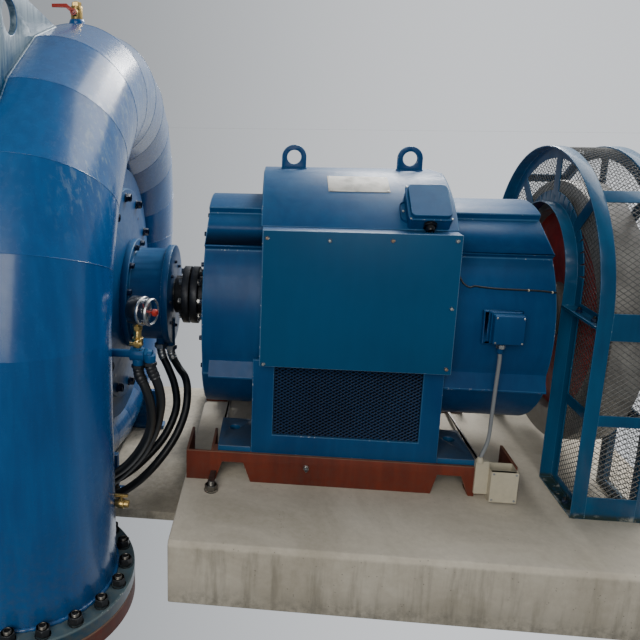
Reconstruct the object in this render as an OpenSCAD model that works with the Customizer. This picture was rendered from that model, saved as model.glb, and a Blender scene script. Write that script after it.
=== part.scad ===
// Hydroelectric generator set: a scroll-cased turbine, its bearing and coupling,
// a round generator on a pedestal, and a flywheel under a mesh guard.
// All sizes are in millimetres. X runs along the shaft towards the flywheel,
// Y runs away from the inlet side and Z runs up. The origin is on the ground
// below the shaft, at the middle of the pedestal.

/* [Ground works] */
// Height of the shaft axis above the ground
shaft_z = 883; // [875:1:895]
// Height of the generator plinth
plinth_h = 240; // [230:1:245]
// Half depth of the generator plinth
plinth_half_y = 890; // [860:1:920]
// Far end of the generator plinth
plinth_x1 = 1250; // [1200:1:1350]
// Chamfer along the plinth edges
plinth_chamfer = 15; // [5:1:25]
// Height of the turbine pad
pad_h = 40; // [30:1:45]

/* [Scroll casing] */
// Distance of the casing plane from the origin
casing_off = 1120; // [1110:1:1130]
// Outer radius of the inlet pipe and of the first casing section
pipe_r = 300; // [290:1:305]
// Wall of pipe and casing
pipe_wall = 12; // [8:1:14]
// Radius on which the casing sections touch the stay ring
spiral_in_r = 595; // [590:1:600]
// Radius of the last casing section
tail_r = 60; // [50:1:64]
// Turn covered by the casing
spiral_end = 318; // [312:1:320]
// Turn at the first welded seam of the casing
first_seam = 5; // [3:1:7]
// Turn of one welded casing segment
segment_turn = 15; // [14:1:18]
// Outer radius of the inlet flanges
flange_r = 365; // [355:1:375]
// Radius of the flange bolt circle
flange_bolt_r = 333; // [330:1:336]
// Number of flange bolt holes
flange_bolts = 20; // [16:1:24]
// Radius of a flange bolt hole
flange_hole_r = 11; // [9:1:12]
// Height of the lower, mating flange
mating_h = 60; // [50:1:65]
// Height of the upper flange
inlet_h = 45; // [35:1:50]

/* [Turbine covers] */
// Half width of the stay ring
stay_half = 95; // [92:1:100]
// Distance from the casing sections in to the cover plate edge
cover_in = 27; // [20:1:35]
// Thickness of the cover plates
cover_t = 40; // [35:1:45]
// Width of the bolting rim outside the raised step of the covers
cover_rim = 93; // [88:1:98]
// Outer radius of the draft elbow
elbow_r = 235; // [225:1:240]
// Bend radius of the draft elbow
elbow_bend = 380; // [370:1:390]
// Radius of the draft elbow base flange
elbow_base_r = 330; // [320:1:335]

/* [Shaft line] */
// Radius of the shaft
shaft_r = 55; // [50:1:58]
// Radius of the turbine bearing housing
bearing_r = 208; // [200:1:212]
// Radius of the coupling flanges
coupling_r = 130; // [125:1:135]
// Radius of the coupling hubs
coupling_hub_r = 85; // [80:1:90]
// Clearance between the flywheel and the outside of its guard
flywheel_clear = 30; // [28:1:40]
// Width of the flywheel
flywheel_w = 130; // [120:1:134]
// Depth of the flywheel rim
flywheel_rim = 120; // [110:1:130]

/* [Generator] */
// Outer radius of the stator covers
barrel_r = 465; // [462:1:468]
// Depth of the recess in the stator faces
face_step = 28; // [25:1:31]
// Near end of the stator
barrel_x0 = -572; // [-574:1:-570]
// Far end of the stator
barrel_x1 = 748; // [740:1:755]
// Distance from the stator covers out to the top hood
hood_rise = 125; // [121:1:127]
// Height that the flat hood top lies below the full hood curve
hood_flat = 11; // [8:1:14]
// Near end of the top hood
hood_x0 = -350; // [-356:1:-344]
// Far end of the top hood
hood_x1 = 372; // [366:1:378]
// Depth of the terminal boxes beyond the stator covers
terminal_d = 59; // [50:1:65]
// Thickness of the terminal cover panels
panel_t = 6; // [4:1:8]
// Level of the pedestal top below the shaft axis
pedestal_drop = 125; // [118:1:133]
// Hole radius of a lifting eye
eye_hole_r = 30; // [25:1:32]

/* [Base frame] */
// Clearance between the stator covers and the rails
saddle = 53; // [50:1:56]
// Distance of the rail faces in front of the pedestal
rail_out = 10; // [7:1:13]
// Depth of the rail flanges
rail_flange = 65; // [60:1:70]
// Thickness of the foot plates
foot_t = 25; // [20:1:28]
// Radius of a foot bolt hole
foot_hole_r = 22; // [18:1:24]

/* [Flywheel guard] */
// Half width of the guard
guard_r = 580; // [578:1:584]
// Centre level of the guard arch
guard_arch_z = 995; // [990:1:1000]
// Near face of the guard
guard_x0 = 818; // [814:1:822]
// Far face of the guard
guard_x1 = 1090; // [1086:1:1094]
// Leg width of the guard angle iron
iron_w = 50; // [46:1:54]
// Leg thickness of the guard angle iron
iron_t = 5; // [4:1:6]
// Half width of the shaft arch in the guard
arch_r = 290; // [285:1:295]
// Centre level of the shaft arch
arch_z = 1050; // [1045:1:1055]
// Thickness of the guard mesh
mesh_t = 3; // [2:1:4]
// Level of the bolted split of the guard
split_z = 972; // [966:1:978]

/* [Hidden] */
$fn = 72;
gap = 0.5;
run = 0.05;
casing_x = -casing_off;
inlet_y = -(spiral_in_r + pipe_r);
stay_r = spiral_in_r + 13;
stay_bore = spiral_in_r - 115;
cover_r = spiral_in_r - cover_in;
cover_step_r = cover_r - cover_rim;
flange_top = mating_h + inlet_h;
barrel_face_r = barrel_r - face_step;
core_r = barrel_r - 65;
hood_r = barrel_r + hood_rise;
hood_top = hood_r - hood_flat;
hood_low = round(sqrt(pow(hood_r, 2) - pow(barrel_face_r + 3, 2)));
terminal_y = barrel_r + terminal_d;
pedestal_y = barrel_r;
pedestal_z1 = shaft_z - pedestal_drop;
pedestal_x0 = hood_x0 - 16;
pedestal_x1 = hood_x1 - 15;
window_x0 = hood_x0 + 68;
window_x1 = hood_x1 - 91;
window_z1 = pedestal_z1 - 13;
window_d = 13;
rail_top = shaft_z - barrel_r - saddle;
window_z0 = rail_top + 82;
rail_y = pedestal_y + rail_out;
rail_x0 = -624;
rail_x1 = 505;
stub_l = 109;
notch_z = rail_top - 43;
plinth_x0 = -632;
head_x = casing_x + stay_half;
rear_x = casing_x - stay_half;
elbow_x = rear_x - cover_t - 17 - 60;
leg_x = elbow_x - elbow_bend;
draft_r = elbow_r - pipe_wall;
bearing_x0 = -945;
bearing_x1 = -745;
flywheel_x = (guard_x0 + guard_x1) / 2;
flywheel_r = guard_r - flywheel_clear;
flywheel_rim_r = flywheel_r - flywheel_rim;
tube_sides = 32;
hose_r = 17;
hose_sides = 10;
tee_z = 868;
tee_r = 24;
ferrule_r = 20;
gauge_x = -756;
gauge_y = -748;
gauge_z = 1026;
gauge_turn = -20;
stem_z = gauge_z - 72;
valve_x = -1134;
valve_y = -100;
crown_z = round(shaft_z + spiral_in_r + 2 * tube_r(85));
valve_lift = 38;
valve_z = crown_z + valve_lift;
pin_r = 6;
lug_x0 = casing_x - 75;
lug_x1 = casing_x - 50;
lug_eye = [-704, 1983];
lug_eye_r = 107;
lug_hole_r = 57;
lug_turns = [37, 57, 78];
lug_foot_r = spiral_in_r + 555;
manifold_x0 = -1090;
manifold_x1 = -1039;
manifold_y = -410;
coupling_x = -665;
coupling_split = 3;
coupling_face = 32;
coupling_half = 73;
barrel_box_x = 482;
box_y = -barrel_face_r - 68;
gland_x = barrel_box_x + 61;
gland_y = -barrel_face_r - 40;

hose_a = [[-755, -748, 815], [-751, -751, 792], [-729, -756, 746], [-713, -752, 685], [-715, -728, 612],
  [-733, -692, 540], [-766, -652, 465], [-813, -608, 385], [-873, -560, 307], [-953, -512, 233],
  [-1030, -480, 186], [-1065, -440, 180]];
hose_b = [[-713, -750, 828], [-705, -748, 803], [-686, -742, 750], [-681, -722, 684], [-692, -692, 619],
  [-710, -656, 549], [-740, -616, 474], [-780, -576, 395], [-831, -540, 320], [-895, -508, 244],
  [-964, -484, 174], [-1032, -468, 116], [-1065, -440, 105]];
hose_c = [[-797, -85, 650], [-788, -95, 618], [-756, -125, 570], [-722, -170, 515], [-702, -225, 455],
  [-710, -268, 400], [-745, -305, 328], [-800, -336, 262], [-868, -362, 200], [-945, -382, 152],
  [-1011, -388, 135]];
hose_d = [[-757, -50, 632], [-748, -60, 602], [-712, -102, 565], [-672, -170, 545], [-655, -225, 500],
  [-660, -275, 425], [-695, -330, 338], [-760, -372, 246], [-838, -394, 164], [-925, -398, 102],
  [-1011, -388, 88]];
conduit = [[gland_x, gland_y, shaft_z - 52], [gland_x + 2, gland_y, shaft_z - 78],
  [gland_x, gland_y + 2, shaft_z - 164], [gland_x - 3, gland_y + 2, shaft_z - 289],
  [gland_x - 7, gland_y, rail_top + 122], [gland_x - 29, -rail_y - 11, rail_top + 55],
  [gland_x - 33, -rail_y - 13, rail_top + 31]];

// Helpers.

// Draws a profile given in Y and Z and runs it from x0 to x1.
module along_x(x0, x1) {
  translate([x0, 0, 0])
    rotate([90, 0, 90])
      linear_extrude(height = x1 - x0)
        children();
}

// Draws a profile given in X and Z and runs it from y0 to y1.
module along_y(y0, y1) {
  translate([0, y1, 0])
    rotate([90, 0, 0])
      linear_extrude(height = y1 - y0)
        children();
}

// A round bar along X.
module x_bar(r, x0, x1, y = 0, z = shaft_z) {
  translate([x0, y, z])
    rotate([0, 90, 0])
      cylinder(r = r, h = x1 - x0);
}

// A round bar along Y.
module y_bar(r, y0, y1, x, z) {
  translate([x, y0, z])
    rotate([-90, 0, 0])
      cylinder(r = r, h = y1 - y0);
}

// A round bar along Z.
module z_bar(r, z0, z1, x, y) {
  translate([x, y, z0])
    cylinder(r = r, h = z1 - z0);
}

// A block given by its two corners.
module block(a, b) {
  translate(a)
    cube(b - a);
}

// The child and its mirror image behind the middle plane.
module both_sides() {
  children();
  mirror([0, 1, 0])
    children();
}

function polar(r, a) = [-r * cos(a), shaft_z + r * sin(a)];
function unit(v) = v / norm(v);
function last(p) = p[len(p) - 1];

// Scroll casing.

function turn_share(a) = pow(max(a, 0) / spiral_end, 1.1);
function tube_r(a) = tail_r + (pipe_r - tail_r) * cos(90 * turn_share(a));
function tube_point(a, r, c, t) =
  [casing_x + r * sin(t), -(c + r * cos(t)) * cos(a), shaft_z + (c + r * cos(t)) * sin(a)];
function tube_ring(a, grow) =
  [for (k = [0:tube_sides - 1])
    tube_point(a, tube_r(a) + grow, spiral_in_r + tube_r(a), 360 * k / tube_sides)];
function joined(lists) = [for (l = lists) for (p = l) p];
function skin(n, s) = concat(
  [[for (k = [0:s - 1]) k]],
  [for (i = [0:n - 2]) for (k = [0:s - 1])
    [i * s + k, (i + 1) * s + k, i * s + (k + 1) % s]],
  [for (i = [0:n - 2]) for (k = [0:s - 1])
    [i * s + (k + 1) % s, (i + 1) * s + k, (i + 1) * s + (k + 1) % s]],
  [[for (k = [s - 1:-1:0]) (n - 1) * s + k]]);

// The scroll as a solid body from turn a0 to turn a1, grown by the given amount.
module scroll(a0, a1, grow) {
  turns = concat([a0], [for (a = [first_seam:segment_turn:a1 - 3]) a], [a1]);
  polyhedron(
    points = joined([for (a = turns) tube_ring(a, grow)]),
    faces = skin(len(turns), tube_sides),
    convexity = 6);
}

// The scroll between its plane at the pipe and its closed tail.
module scroll_body(grow = 0) {
  scroll(0, spiral_end, grow);
}

// Bent tubes.

function spline(a, b, c, d, t) =
  0.5 * (2 * b + (c - a) * t + (2 * a - 5 * b + 4 * c - d) * t * t + (3 * b - a - 3 * c + d) * t * t * t);
function route_at(p, s) =
  let (n = len(p) - 1, i = min(floor(s), n - 1))
  spline(p[max(i - 1, 0)], p[i], p[i + 1], p[min(i + 2, n)], s - i);
function route(p, rings) = [for (k = [0:rings - 1]) route_at(p, k * (len(p) - 1) / (rings - 1))];
function bend_ring(c, t, r, s) =
  let (u = unit(cross(t, [1, 1, 0])), v = cross(t, u))
  [for (k = [0:s - 1]) c + r * cos(360 * k / s) * u + r * sin(360 * k / s) * v];

// A tube body along a route, square to the given directions at its two ends.
module bent_tube(p, r, rings, sides, d0, d1) {
  q = route(p, rings);
  n = len(q) - 1;
  rows = [for (i = [0:n])
    bend_ring(q[i], i == 0 ? d0 : i == n ? d1 : unit(q[i + 1] - q[i - 1]), r, sides)];
  polyhedron(points = joined(rows), faces = skin(n + 1, sides), convexity = 6);
}

// Ground works.

module generator_plinth() {
  color([0.45, 0.46, 0.44])
    along_x(plinth_x0, plinth_x1)
      polygon([[-plinth_half_y, 0], [plinth_half_y, 0],
        [plinth_half_y, plinth_h - plinth_chamfer], [plinth_half_y - plinth_chamfer, plinth_h],
        [-plinth_half_y + plinth_chamfer, plinth_h], [-plinth_half_y, plinth_h - plinth_chamfer]]);
}

module turbine_plinth() {
  color([0.42, 0.43, 0.42])
    difference() {
      block([leg_x - elbow_base_r - 20, inlet_y + flange_r + 110, 0], [plinth_x0, plinth_half_y, pad_h]);
      z_bar(draft_r, -1, pad_h + 1, leg_x, 0);
      block([casing_x - 80, -40, pad_h - 12], [casing_x + 80, 310, pad_h + 1]);
    }
}

// Inlet.

module flange_ring(z0, z1) {
  difference() {
    z_bar(flange_r, z0, z1, casing_x, inlet_y);
    z_bar(pipe_r - pipe_wall, z0 - 1, z1 + 1, casing_x, inlet_y);
    for (k = [0:flange_bolts - 1])
      translate([casing_x, inlet_y, 0])
        rotate([0, 0, 360 * (k + 0.5) / flange_bolts])
          translate([flange_bolt_r, 0, z0 - 1])
            cylinder(r = flange_hole_r, h = z1 - z0 + 2);
  }
}

module mating_flange() {
  color([0.45, 0.20, 0.14])
    flange_ring(0, mating_h);
}

module inlet_flange() {
  color([0.25, 0.42, 0.55])
    flange_ring(mating_h, flange_top);
}

module inlet_pipe() {
  color([0.25, 0.42, 0.55])
    difference() {
      z_bar(pipe_r, flange_top, shaft_z, casing_x, inlet_y);
      z_bar(pipe_r - pipe_wall, flange_top - 1, shaft_z + 1, casing_x, inlet_y);
      x_bar(stay_r, rear_x - 50, head_x + 50);
    }
}

// Turbine.

module spiral_casing() {
  color([0.25, 0.42, 0.55])
    difference() {
      scroll_body();
      scroll(-2, spiral_end - 1.5, -pipe_wall);
      x_bar(stay_r / cos(180 / $fn) + run, rear_x - 300, head_x + 300);
    }
}

module stay_ring() {
  color([0.22, 0.38, 0.50])
    difference() {
      x_bar(stay_r, rear_x, head_x);
      x_bar(stay_bore, rear_x - 1, head_x + 1);
    }
}

module head_cover() {
  color([0.25, 0.42, 0.55])
    difference() {
      union() {
        x_bar(stay_bore - gap, head_x - 60, head_x);
        x_bar(cover_r, head_x, head_x + cover_t);
        x_bar(cover_step_r, head_x + cover_t - 1, head_x + cover_t + 17);
        translate([head_x + cover_t + 17, 0, shaft_z])
          rotate([0, 90, 0])
            cylinder(r1 = 375, r2 = 255, h = bearing_x0 - head_x - cover_t - 17);
      }
      x_bar(shaft_r + 15, head_x + 15, bearing_x0 + 1);
    }
}

module rear_cover() {
  color([0.25, 0.42, 0.55])
    difference() {
      union() {
        x_bar(stay_bore - gap, rear_x, rear_x + 60);
        x_bar(cover_r, rear_x - cover_t, rear_x);
        x_bar(cover_step_r, rear_x - cover_t - 17, rear_x - cover_t + 1);
      }
      x_bar(draft_r, rear_x - cover_t - 20, rear_x + 61);
    }
}

module elbow_bar(r, e) {
  x_bar(r, elbow_x, elbow_x + 60 + e);
  translate([elbow_x, 0, shaft_z - elbow_bend])
    rotate([90, 0, 0])
      rotate([0, 0, 90])
        rotate_extrude(angle = 90)
          translate([elbow_bend, 0])
            circle(r = r);
  z_bar(r, pad_h - e, shaft_z - elbow_bend, leg_x, 0);
}

module draft_elbow() {
  color([0.25, 0.42, 0.55])
    difference() {
      union() {
        elbow_bar(elbow_r, 0);
        x_bar(elbow_r + 55, elbow_x + 35, elbow_x + 60);
        z_bar(elbow_base_r, pad_h, pad_h + 25, leg_x, 0);
      }
      elbow_bar(draft_r, 1);
    }
}

module casing_feet() {
  color([0.22, 0.38, 0.50])
    difference() {
      union() {
        block([casing_x - 170, -315, pad_h], [casing_x + 170, -285, 230]);
        block([casing_x - 200, -330, pad_h], [casing_x + 200, -270, pad_h + 20]);
        block([casing_x - 230, 335, pad_h], [casing_x + 230, 365, 250]);
        block([casing_x - 260, 320, pad_h], [casing_x + 260, 380, pad_h + 20]);
      }
      scroll_body();
    }
}

module bearing_housing() {
  color([0.30, 0.45, 0.52])
    difference() {
      union() {
        x_bar(248, bearing_x0, bearing_x0 + 30);
        x_bar(bearing_r, bearing_x0 + 29, bearing_x1 - 29);
        x_bar(225, bearing_x1 - 30, bearing_x1);
        for (start = [hose_c[0], hose_d[0]])
          z_bar(ferrule_r, start[2], shaft_z - 100, start[0], start[1]);
      }
      x_bar(shaft_r + run, bearing_x0 - 1, bearing_x1 + 1);
    }
}

// A point of the lug's foot, at the given turn.
function lug_foot(a) = [-lug_foot_r * cos(a), shaft_z + lug_foot_r * sin(a)];

module lifting_lug() {
  color([0.25, 0.42, 0.55])
    difference() {
      along_x(lug_x0, lug_x1)
        difference() {
          hull() {
            translate(lug_eye)
              circle(r = lug_eye_r);
            polygon([for (a = lug_turns) lug_foot(a)]);
          }
          translate(lug_eye)
            circle(r = lug_hole_r);
        }
      scroll_body();
    }
}

module bleed_valve() {
  color([0.62, 0.54, 0.34])
    difference() {
      union() {
        z_bar(13, valve_z - 84, valve_z + 46, valve_x, valve_y);
        z_bar(24, valve_z - 26, valve_z + 28, valve_x, valve_y);
        y_bar(13, valve_y - 38, valve_y, valve_x, valve_z);
      }
      y_bar(pin_r + run, valve_y - 39, valve_y - 10, valve_x, valve_z);
      scroll_body();
    }
}

module bleed_lever() {
  color([0.65, 0.12, 0.10])
    union() {
      y_bar(pin_r, valve_y - 52, valve_y - 12, valve_x, valve_z);
      y_bar(13, valve_y - 49, valve_y - 44, valve_x, valve_z);
      along_y(valve_y - 49, valve_y - 44)
        polygon([[valve_x, valve_z - 9], [valve_x, valve_z + 9], [valve_x - 26, valve_z + 32],
          [valve_x - 88, valve_z + 32], [valve_x - 88, valve_z + 18], [valve_x - 30, valve_z + 16]]);
    }
}

// Fittings on the inlet pipe.

module gauge_case(r, d0, d1) {
  translate([gauge_x, gauge_y, gauge_z])
    rotate([0, 0, gauge_turn])
      rotate([0, 90, 0])
        translate([0, 0, d0])
          cylinder(r = r, h = d1 - d0);
}

module pressure_gauge() {
  color([0.80, 0.80, 0.76])
    union() {
      gauge_case(49, -22, 24);
      gauge_case(47, 23, 62);
      z_bar(9, stem_z, gauge_z - 20, gauge_x, gauge_y);
    }
}

module gauge_cock() {
  color([0.62, 0.54, 0.34])
    union() {
      z_bar(14, tee_z + 25, stem_z, gauge_x, gauge_y);
      z_bar(19, tee_z + 37, tee_z + 59, gauge_x, gauge_y);
      y_bar(9, gauge_y - 34, gauge_y, gauge_x, tee_z + 48);
      block([gauge_x - 22, gauge_y - 38, tee_z + 43], [gauge_x + 22, gauge_y - 32, tee_z + 53]);
    }
}

module pressure_tee() {
  color([0.55, 0.55, 0.52])
    difference() {
      union() {
        x_bar(14, -900, -780, gauge_y, tee_z);
        x_bar(tee_r, gauge_x - 26, gauge_x + 24, gauge_y, tee_z);
        z_bar(16, tee_z, tee_z + 25, gauge_x, gauge_y);
        x_bar(17, gauge_x + 23, hose_b[0][0] + 8, gauge_y, tee_z);
        z_bar(ferrule_r, hose_a[0][2], hose_a[0][2] + 35, hose_a[0][0], hose_a[0][1]);
        z_bar(ferrule_r, hose_b[0][2], hose_b[0][2] + 40, hose_b[0][0], hose_b[0][1]);
      }
      z_bar(pipe_r, flange_top, shaft_z + 50, casing_x, inlet_y);
    }
}

module front_hoses() {
  color([0.06, 0.06, 0.06]) {
    bent_tube(hose_a, hose_r, 17, hose_sides, [0, 0, -1], [0, 1, 0]);
    bent_tube(hose_b, hose_r, 17, hose_sides, [0, 0, -1], [0, 1, 0]);
  }
}

module rear_hoses() {
  color([0.06, 0.06, 0.06]) {
    bent_tube(hose_c, hose_r, 17, hose_sides, [0, 0, -1], [-1, 0, 0]);
    bent_tube(hose_d, hose_r, 17, hose_sides, [0, 0, -1], [-1, 0, 0]);
  }
}

module hose_manifold() {
  color([0.30, 0.32, 0.32])
    union() {
      block([manifold_x0, manifold_y, pad_h], [manifold_x1, manifold_y + 45, 204]);
      for (end = [last(hose_a), last(hose_b)])
        y_bar(ferrule_r, end[1], manifold_y + 5, end[0], end[2]);
      for (end = [last(hose_c), last(hose_d)])
        x_bar(ferrule_r, manifold_x1 - 5, end[0], end[1], end[2]);
    }
}

module drain_tap() {
  color([0.62, 0.54, 0.34])
    difference() {
      union() {
        x_bar(13, -860, -773, -850, 351);
        x_bar(17, -812, -790, -850, 351);
        z_bar(6, 351, 384, -801, -850);
        block([-826, -856, 380], [-776, -844, 386]);
      }
      z_bar(pipe_r, flange_top, shaft_z, casing_x, inlet_y);
    }
}

// Generator.

module stator_half_cut() {
  difference() {
    polygon([[0, shaft_z], polar(barrel_face_r, -21), polar(barrel_r, -27), polar(hood_r + 50, -27),
      polar(hood_r + 50, 10), polar(hood_r + 50, 40)]);
    translate([0, shaft_z])
      circle(r = barrel_face_r);
  }
  polygon([polar(barrel_r, 40), polar(hood_r + 50, 40), polar(hood_r + 50, 67), polar(barrel_face_r, 67),
    polar(barrel_face_r, 65)]);
}

module stator_frame() {
  color([0.27, 0.45, 0.58])
    along_x(barrel_x0, barrel_x1)
      difference() {
        translate([0, shaft_z])
          circle(r = barrel_r);
        translate([0, shaft_z])
          circle(r = core_r);
        stator_half_cut();
        mirror([1, 0])
          stator_half_cut();
      }
}

module end_shields() {
  color([0.27, 0.45, 0.58]) {
    difference() {
      union() {
        x_bar(core_r, barrel_x0, barrel_x0 + 32);
        x_bar(120, barrel_x0 - 12, barrel_x0 + 90);
      }
      x_bar(shaft_r + run, barrel_x0 - 13, barrel_x0 + 91);
    }
    difference() {
      union() {
        x_bar(core_r, barrel_x1 - 32, barrel_x1);
        x_bar(120, barrel_x1 - 90, barrel_x1 + 42);
      }
      x_bar(shaft_r + run, barrel_x1 - 91, barrel_x1 + 43);
    }
  }
}

module top_hood() {
  color([0.27, 0.45, 0.58])
    along_x(hood_x0, hood_x1)
      difference() {
        intersection() {
          translate([0, shaft_z])
            circle(r = hood_r, $fn = 360);
          translate([-hood_r - 50, shaft_z + hood_low])
            square([2 * hood_r + 100, hood_top - hood_low]);
        }
        translate([0, shaft_z])
          circle(r = barrel_r + gap);
      }
}

module lifting_eye(x) {
  z = shaft_z + hood_top + 50;
  difference() {
    union() {
      y_bar(52, -10, 10, x, z);
      block([x - 52, -10, shaft_z + hood_top], [x + 52, 10, z]);
    }
    y_bar(eye_hole_r, -11, 11, x, z);
    block([x - 53, -11, z - 60], [x + 53, 11, shaft_z + hood_top]);
  }
}

module lifting_eyes() {
  color([0.27, 0.45, 0.58]) {
    lifting_eye(hood_x0 + 125);
    lifting_eye(hood_x1 - 111);
  }
}

module terminal_half() {
  difference() {
    block([hood_x0 + 8, -terminal_y, pedestal_z1], [hood_x1 - 8, 0, shaft_z + hood_low]);
    x_bar(barrel_r + gap, hood_x0, hood_x1);
  }
}

module terminal_box() {
  color([0.27, 0.45, 0.58])
    both_sides()
      terminal_half();
}

module terminal_panel() {
  color([0.30, 0.50, 0.66])
    both_sides()
      block([hood_x0 + 11, -terminal_y - panel_t, pedestal_z1],
        [hood_x1 - 11, -terminal_y, shaft_z + hood_low + 2]);
}

module pedestal() {
  color([0.27, 0.45, 0.58])
    difference() {
      block([pedestal_x0, -pedestal_y, rail_top], [pedestal_x1, pedestal_y, pedestal_z1]);
      x_bar(barrel_r + gap, pedestal_x0 - 10, pedestal_x1 + 10);
      both_sides()
        block([window_x0, -pedestal_y - 1, window_z0], [window_x1, -pedestal_y + window_d, window_z1]);
    }
}

module air_mesh() {
  color([0.15, 0.16, 0.17])
    both_sides()
      block([window_x0, -pedestal_y + window_d - mesh_t, window_z0],
        [window_x1, -pedestal_y + window_d, window_z1]);
}

module foot_plate(x0, x1, hole_x) {
  difference() {
    block([x0, -pedestal_y, rail_top], [x1, -pedestal_y + 250, rail_top + foot_t]);
    z_bar(foot_hole_r, rail_top - 1, rail_top + foot_t + 1, hole_x, -pedestal_y + 165);
  }
}

module foot_plates() {
  color([0.27, 0.45, 0.58])
    both_sides() {
      foot_plate(pedestal_x1, pedestal_x1 + 143, pedestal_x1 + 83);
      foot_plate(pedestal_x0 - 132, pedestal_x0, pedestal_x0 - 74);
    }
}

// Base frame.

module rail() {
  difference() {
    union() {
      block([rail_x0, -rail_y, plinth_h], [rail_x1, -rail_y + 12, rail_top]);
      block([rail_x0 + stub_l, -rail_y, rail_top - 14], [rail_x1, -rail_y + rail_flange, rail_top]);
      block([rail_x0 + stub_l, -rail_y, plinth_h], [rail_x1, -rail_y + rail_flange, plinth_h + 14]);
    }
    along_y(-rail_y - 1, -rail_y + rail_flange + 1)
      polygon([[-507, plinth_h - 1], [-479, notch_z], [-395, notch_z], [-365, plinth_h - 1]]);
    along_y(-rail_y - 1, -rail_y + rail_flange + 1)
      polygon([[340, plinth_h - 1], [361, notch_z], [451, notch_z], [483, plinth_h - 1]]);
  }
}

module base_rails() {
  color([0.35, 0.12, 0.10])
    both_sides()
      rail();
}

module channel_stub(x0, x1, y0, y1) {
  difference() {
    block([x0, y0, plinth_h], [x1, y1, rail_top]);
    block([x0 + 11, y0 - 1, plinth_h + 12], [x1 - 11, y1 + 1, rail_top + 1]);
  }
}

module end_channels() {
  color([0.30, 0.13, 0.10])
    both_sides() {
      channel_stub(rail_x0 - 1, rail_x0 + stub_l, -rail_y + 12, -rail_y + 205);
      channel_stub(rail_x1, rail_x1 + 160, -rail_y + 20, -rail_y + 195);
    }
}

// Junction boxes.

module hood_junction_box() {
  color([0.30, 0.47, 0.58])
    difference() {
      translate([0, 0, shaft_z])
        rotate([39, 0, 0])
          mirror([0, 1, 0])
            union() {
              block([hood_x1 - 186, -78, hood_r - 30], [hood_x1 - 36, 92, hood_r + 64]);
              block([hood_x1 - 207, -35, hood_r - 30], [hood_x1 - 20, 61, hood_r + 8]);
              y_bar(20, 60, 114, hood_x1 - 112, hood_r + 36);
            }
      x_bar(hood_r, hood_x1 - 220, hood_x1 + 10);
      block([hood_x1 - 220, -hood_r - 50, shaft_z], [hood_x1 + 10, 0, shaft_z + hood_low]);
    }
}

module barrel_junction_box() {
  color([0.32, 0.48, 0.58])
    difference() {
      union() {
        block([barrel_box_x, box_y + 55, shaft_z - 29], [barrel_box_x + 136, box_y + 95, shaft_z + 103]);
        block([barrel_box_x + 23, box_y, shaft_z - 10], [barrel_box_x + 133, box_y + 56, shaft_z + 100]);
        z_bar(12, shaft_z - 52, shaft_z - 3, gland_x, gland_y);
      }
      x_bar(barrel_face_r, barrel_box_x - 12, barrel_box_x + 148);
    }
}

module sensor_conduit() {
  color([0.55, 0.56, 0.55])
    bent_tube(conduit, 7, 12, 8, [0, 0, -1], [0, 0, -1]);
}

module white_junction_box() {
  color([0.85, 0.83, 0.74])
    union() {
      block([549, -rail_y - 42, plinth_h], [647, -rail_y + 18, rail_top + 8]);
      block([482, -rail_y - 25, plinth_h], [550, -rail_y - 1, rail_top + 31]);
    }
}

// Flywheel guard.

module arch(r, z) {
  translate([0, z])
    intersection() {
      circle(r = r);
      translate([-r, 0])
        square([2 * r, r]);
    }
  translate([-r, plinth_h])
    square([2 * r, z - plinth_h + 0.01]);
}

module bar_2d(a, b, w) {
  d = unit(b - a);
  s = [-d[1], d[0]] * w / 2;
  polygon([a + s, b + s, b - s, a - s]);
}

// Everything that lies in the plane of the frame's radial legs.
module guard_face() {
  difference() {
    arch(guard_r, guard_arch_z);
    arch(guard_r - iron_w, guard_arch_z);
  }
  difference() {
    arch(arch_r + iron_w, arch_z);
    arch(arch_r, arch_z);
    for (k = [1:21])
      translate([0, arch_z])
        rotate([0, 0, 180 * k / 22])
          polygon([[arch_r + 10, -0.6], [arch_r + iron_w + 1, -4], [arch_r + iron_w + 1, 4],
            [arch_r + 10, 0.6]]);
  }
  for (a = [45, 90, 135])
    bar_2d(spoke_at(a, arch_r + 30), spoke_at(a, spoke_reach(a)), iron_w);
  for (s = [-1, 1]) {
    bar_2d([s * 330, 612], [s * 540, 612], 42);
    bar_2d([s * 330, plinth_h + 20], [s * 540, plinth_h + 20], 40);
    bar_2d([s * 330, split_z], [s * 540, split_z], iron_w);
  }
}

function spoke_at(a, r) = [r * cos(a), arch_z + r * sin(a)];
function spoke_reach(a) = guard_r - iron_w / 2 - (arch_z - guard_arch_z) * sin(a);

// One side frame: angle irons with their radial legs towards the flywheel.
module guard_frame() {
  face_x = guard_x0 + iron_w - iron_t;
  along_x(face_x, guard_x0 + iron_w)
    guard_face();
  along_x(guard_x0, guard_x0 + iron_w)
    difference() {
      arch(guard_r, guard_arch_z);
      arch(guard_r - iron_t, guard_arch_z);
    }
  along_x(guard_x0, guard_x0 + iron_w)
    difference() {
      arch(arch_r + iron_t, arch_z);
      arch(arch_r, arch_z);
    }
  both_sides() {
    difference() {
      block([guard_x0, -guard_r + 1, split_z - iron_t],
        [guard_x0 + iron_w, -arch_r - 1, split_z + iron_t]);
      for (y = [-510, -390])
        z_bar(7, split_z - 20, split_z + 20, guard_x0 + 23, y);
    }
    difference() {
      block([guard_x0, -guard_r + 1, plinth_h], [guard_x0 + iron_w, -arch_r - 1, plinth_h + iron_t]);
      z_bar(7, plinth_h - 1, plinth_h + 20, guard_x0 + 23, -419);
    }
  }
}

module guard_near_frame() {
  color([0.20, 0.36, 0.44])
    guard_frame();
}

module guard_far_frame() {
  color([0.20, 0.36, 0.44])
    translate([guard_x0 + guard_x1, 0, 0])
      mirror([1, 0, 0])
        guard_frame();
}

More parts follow.
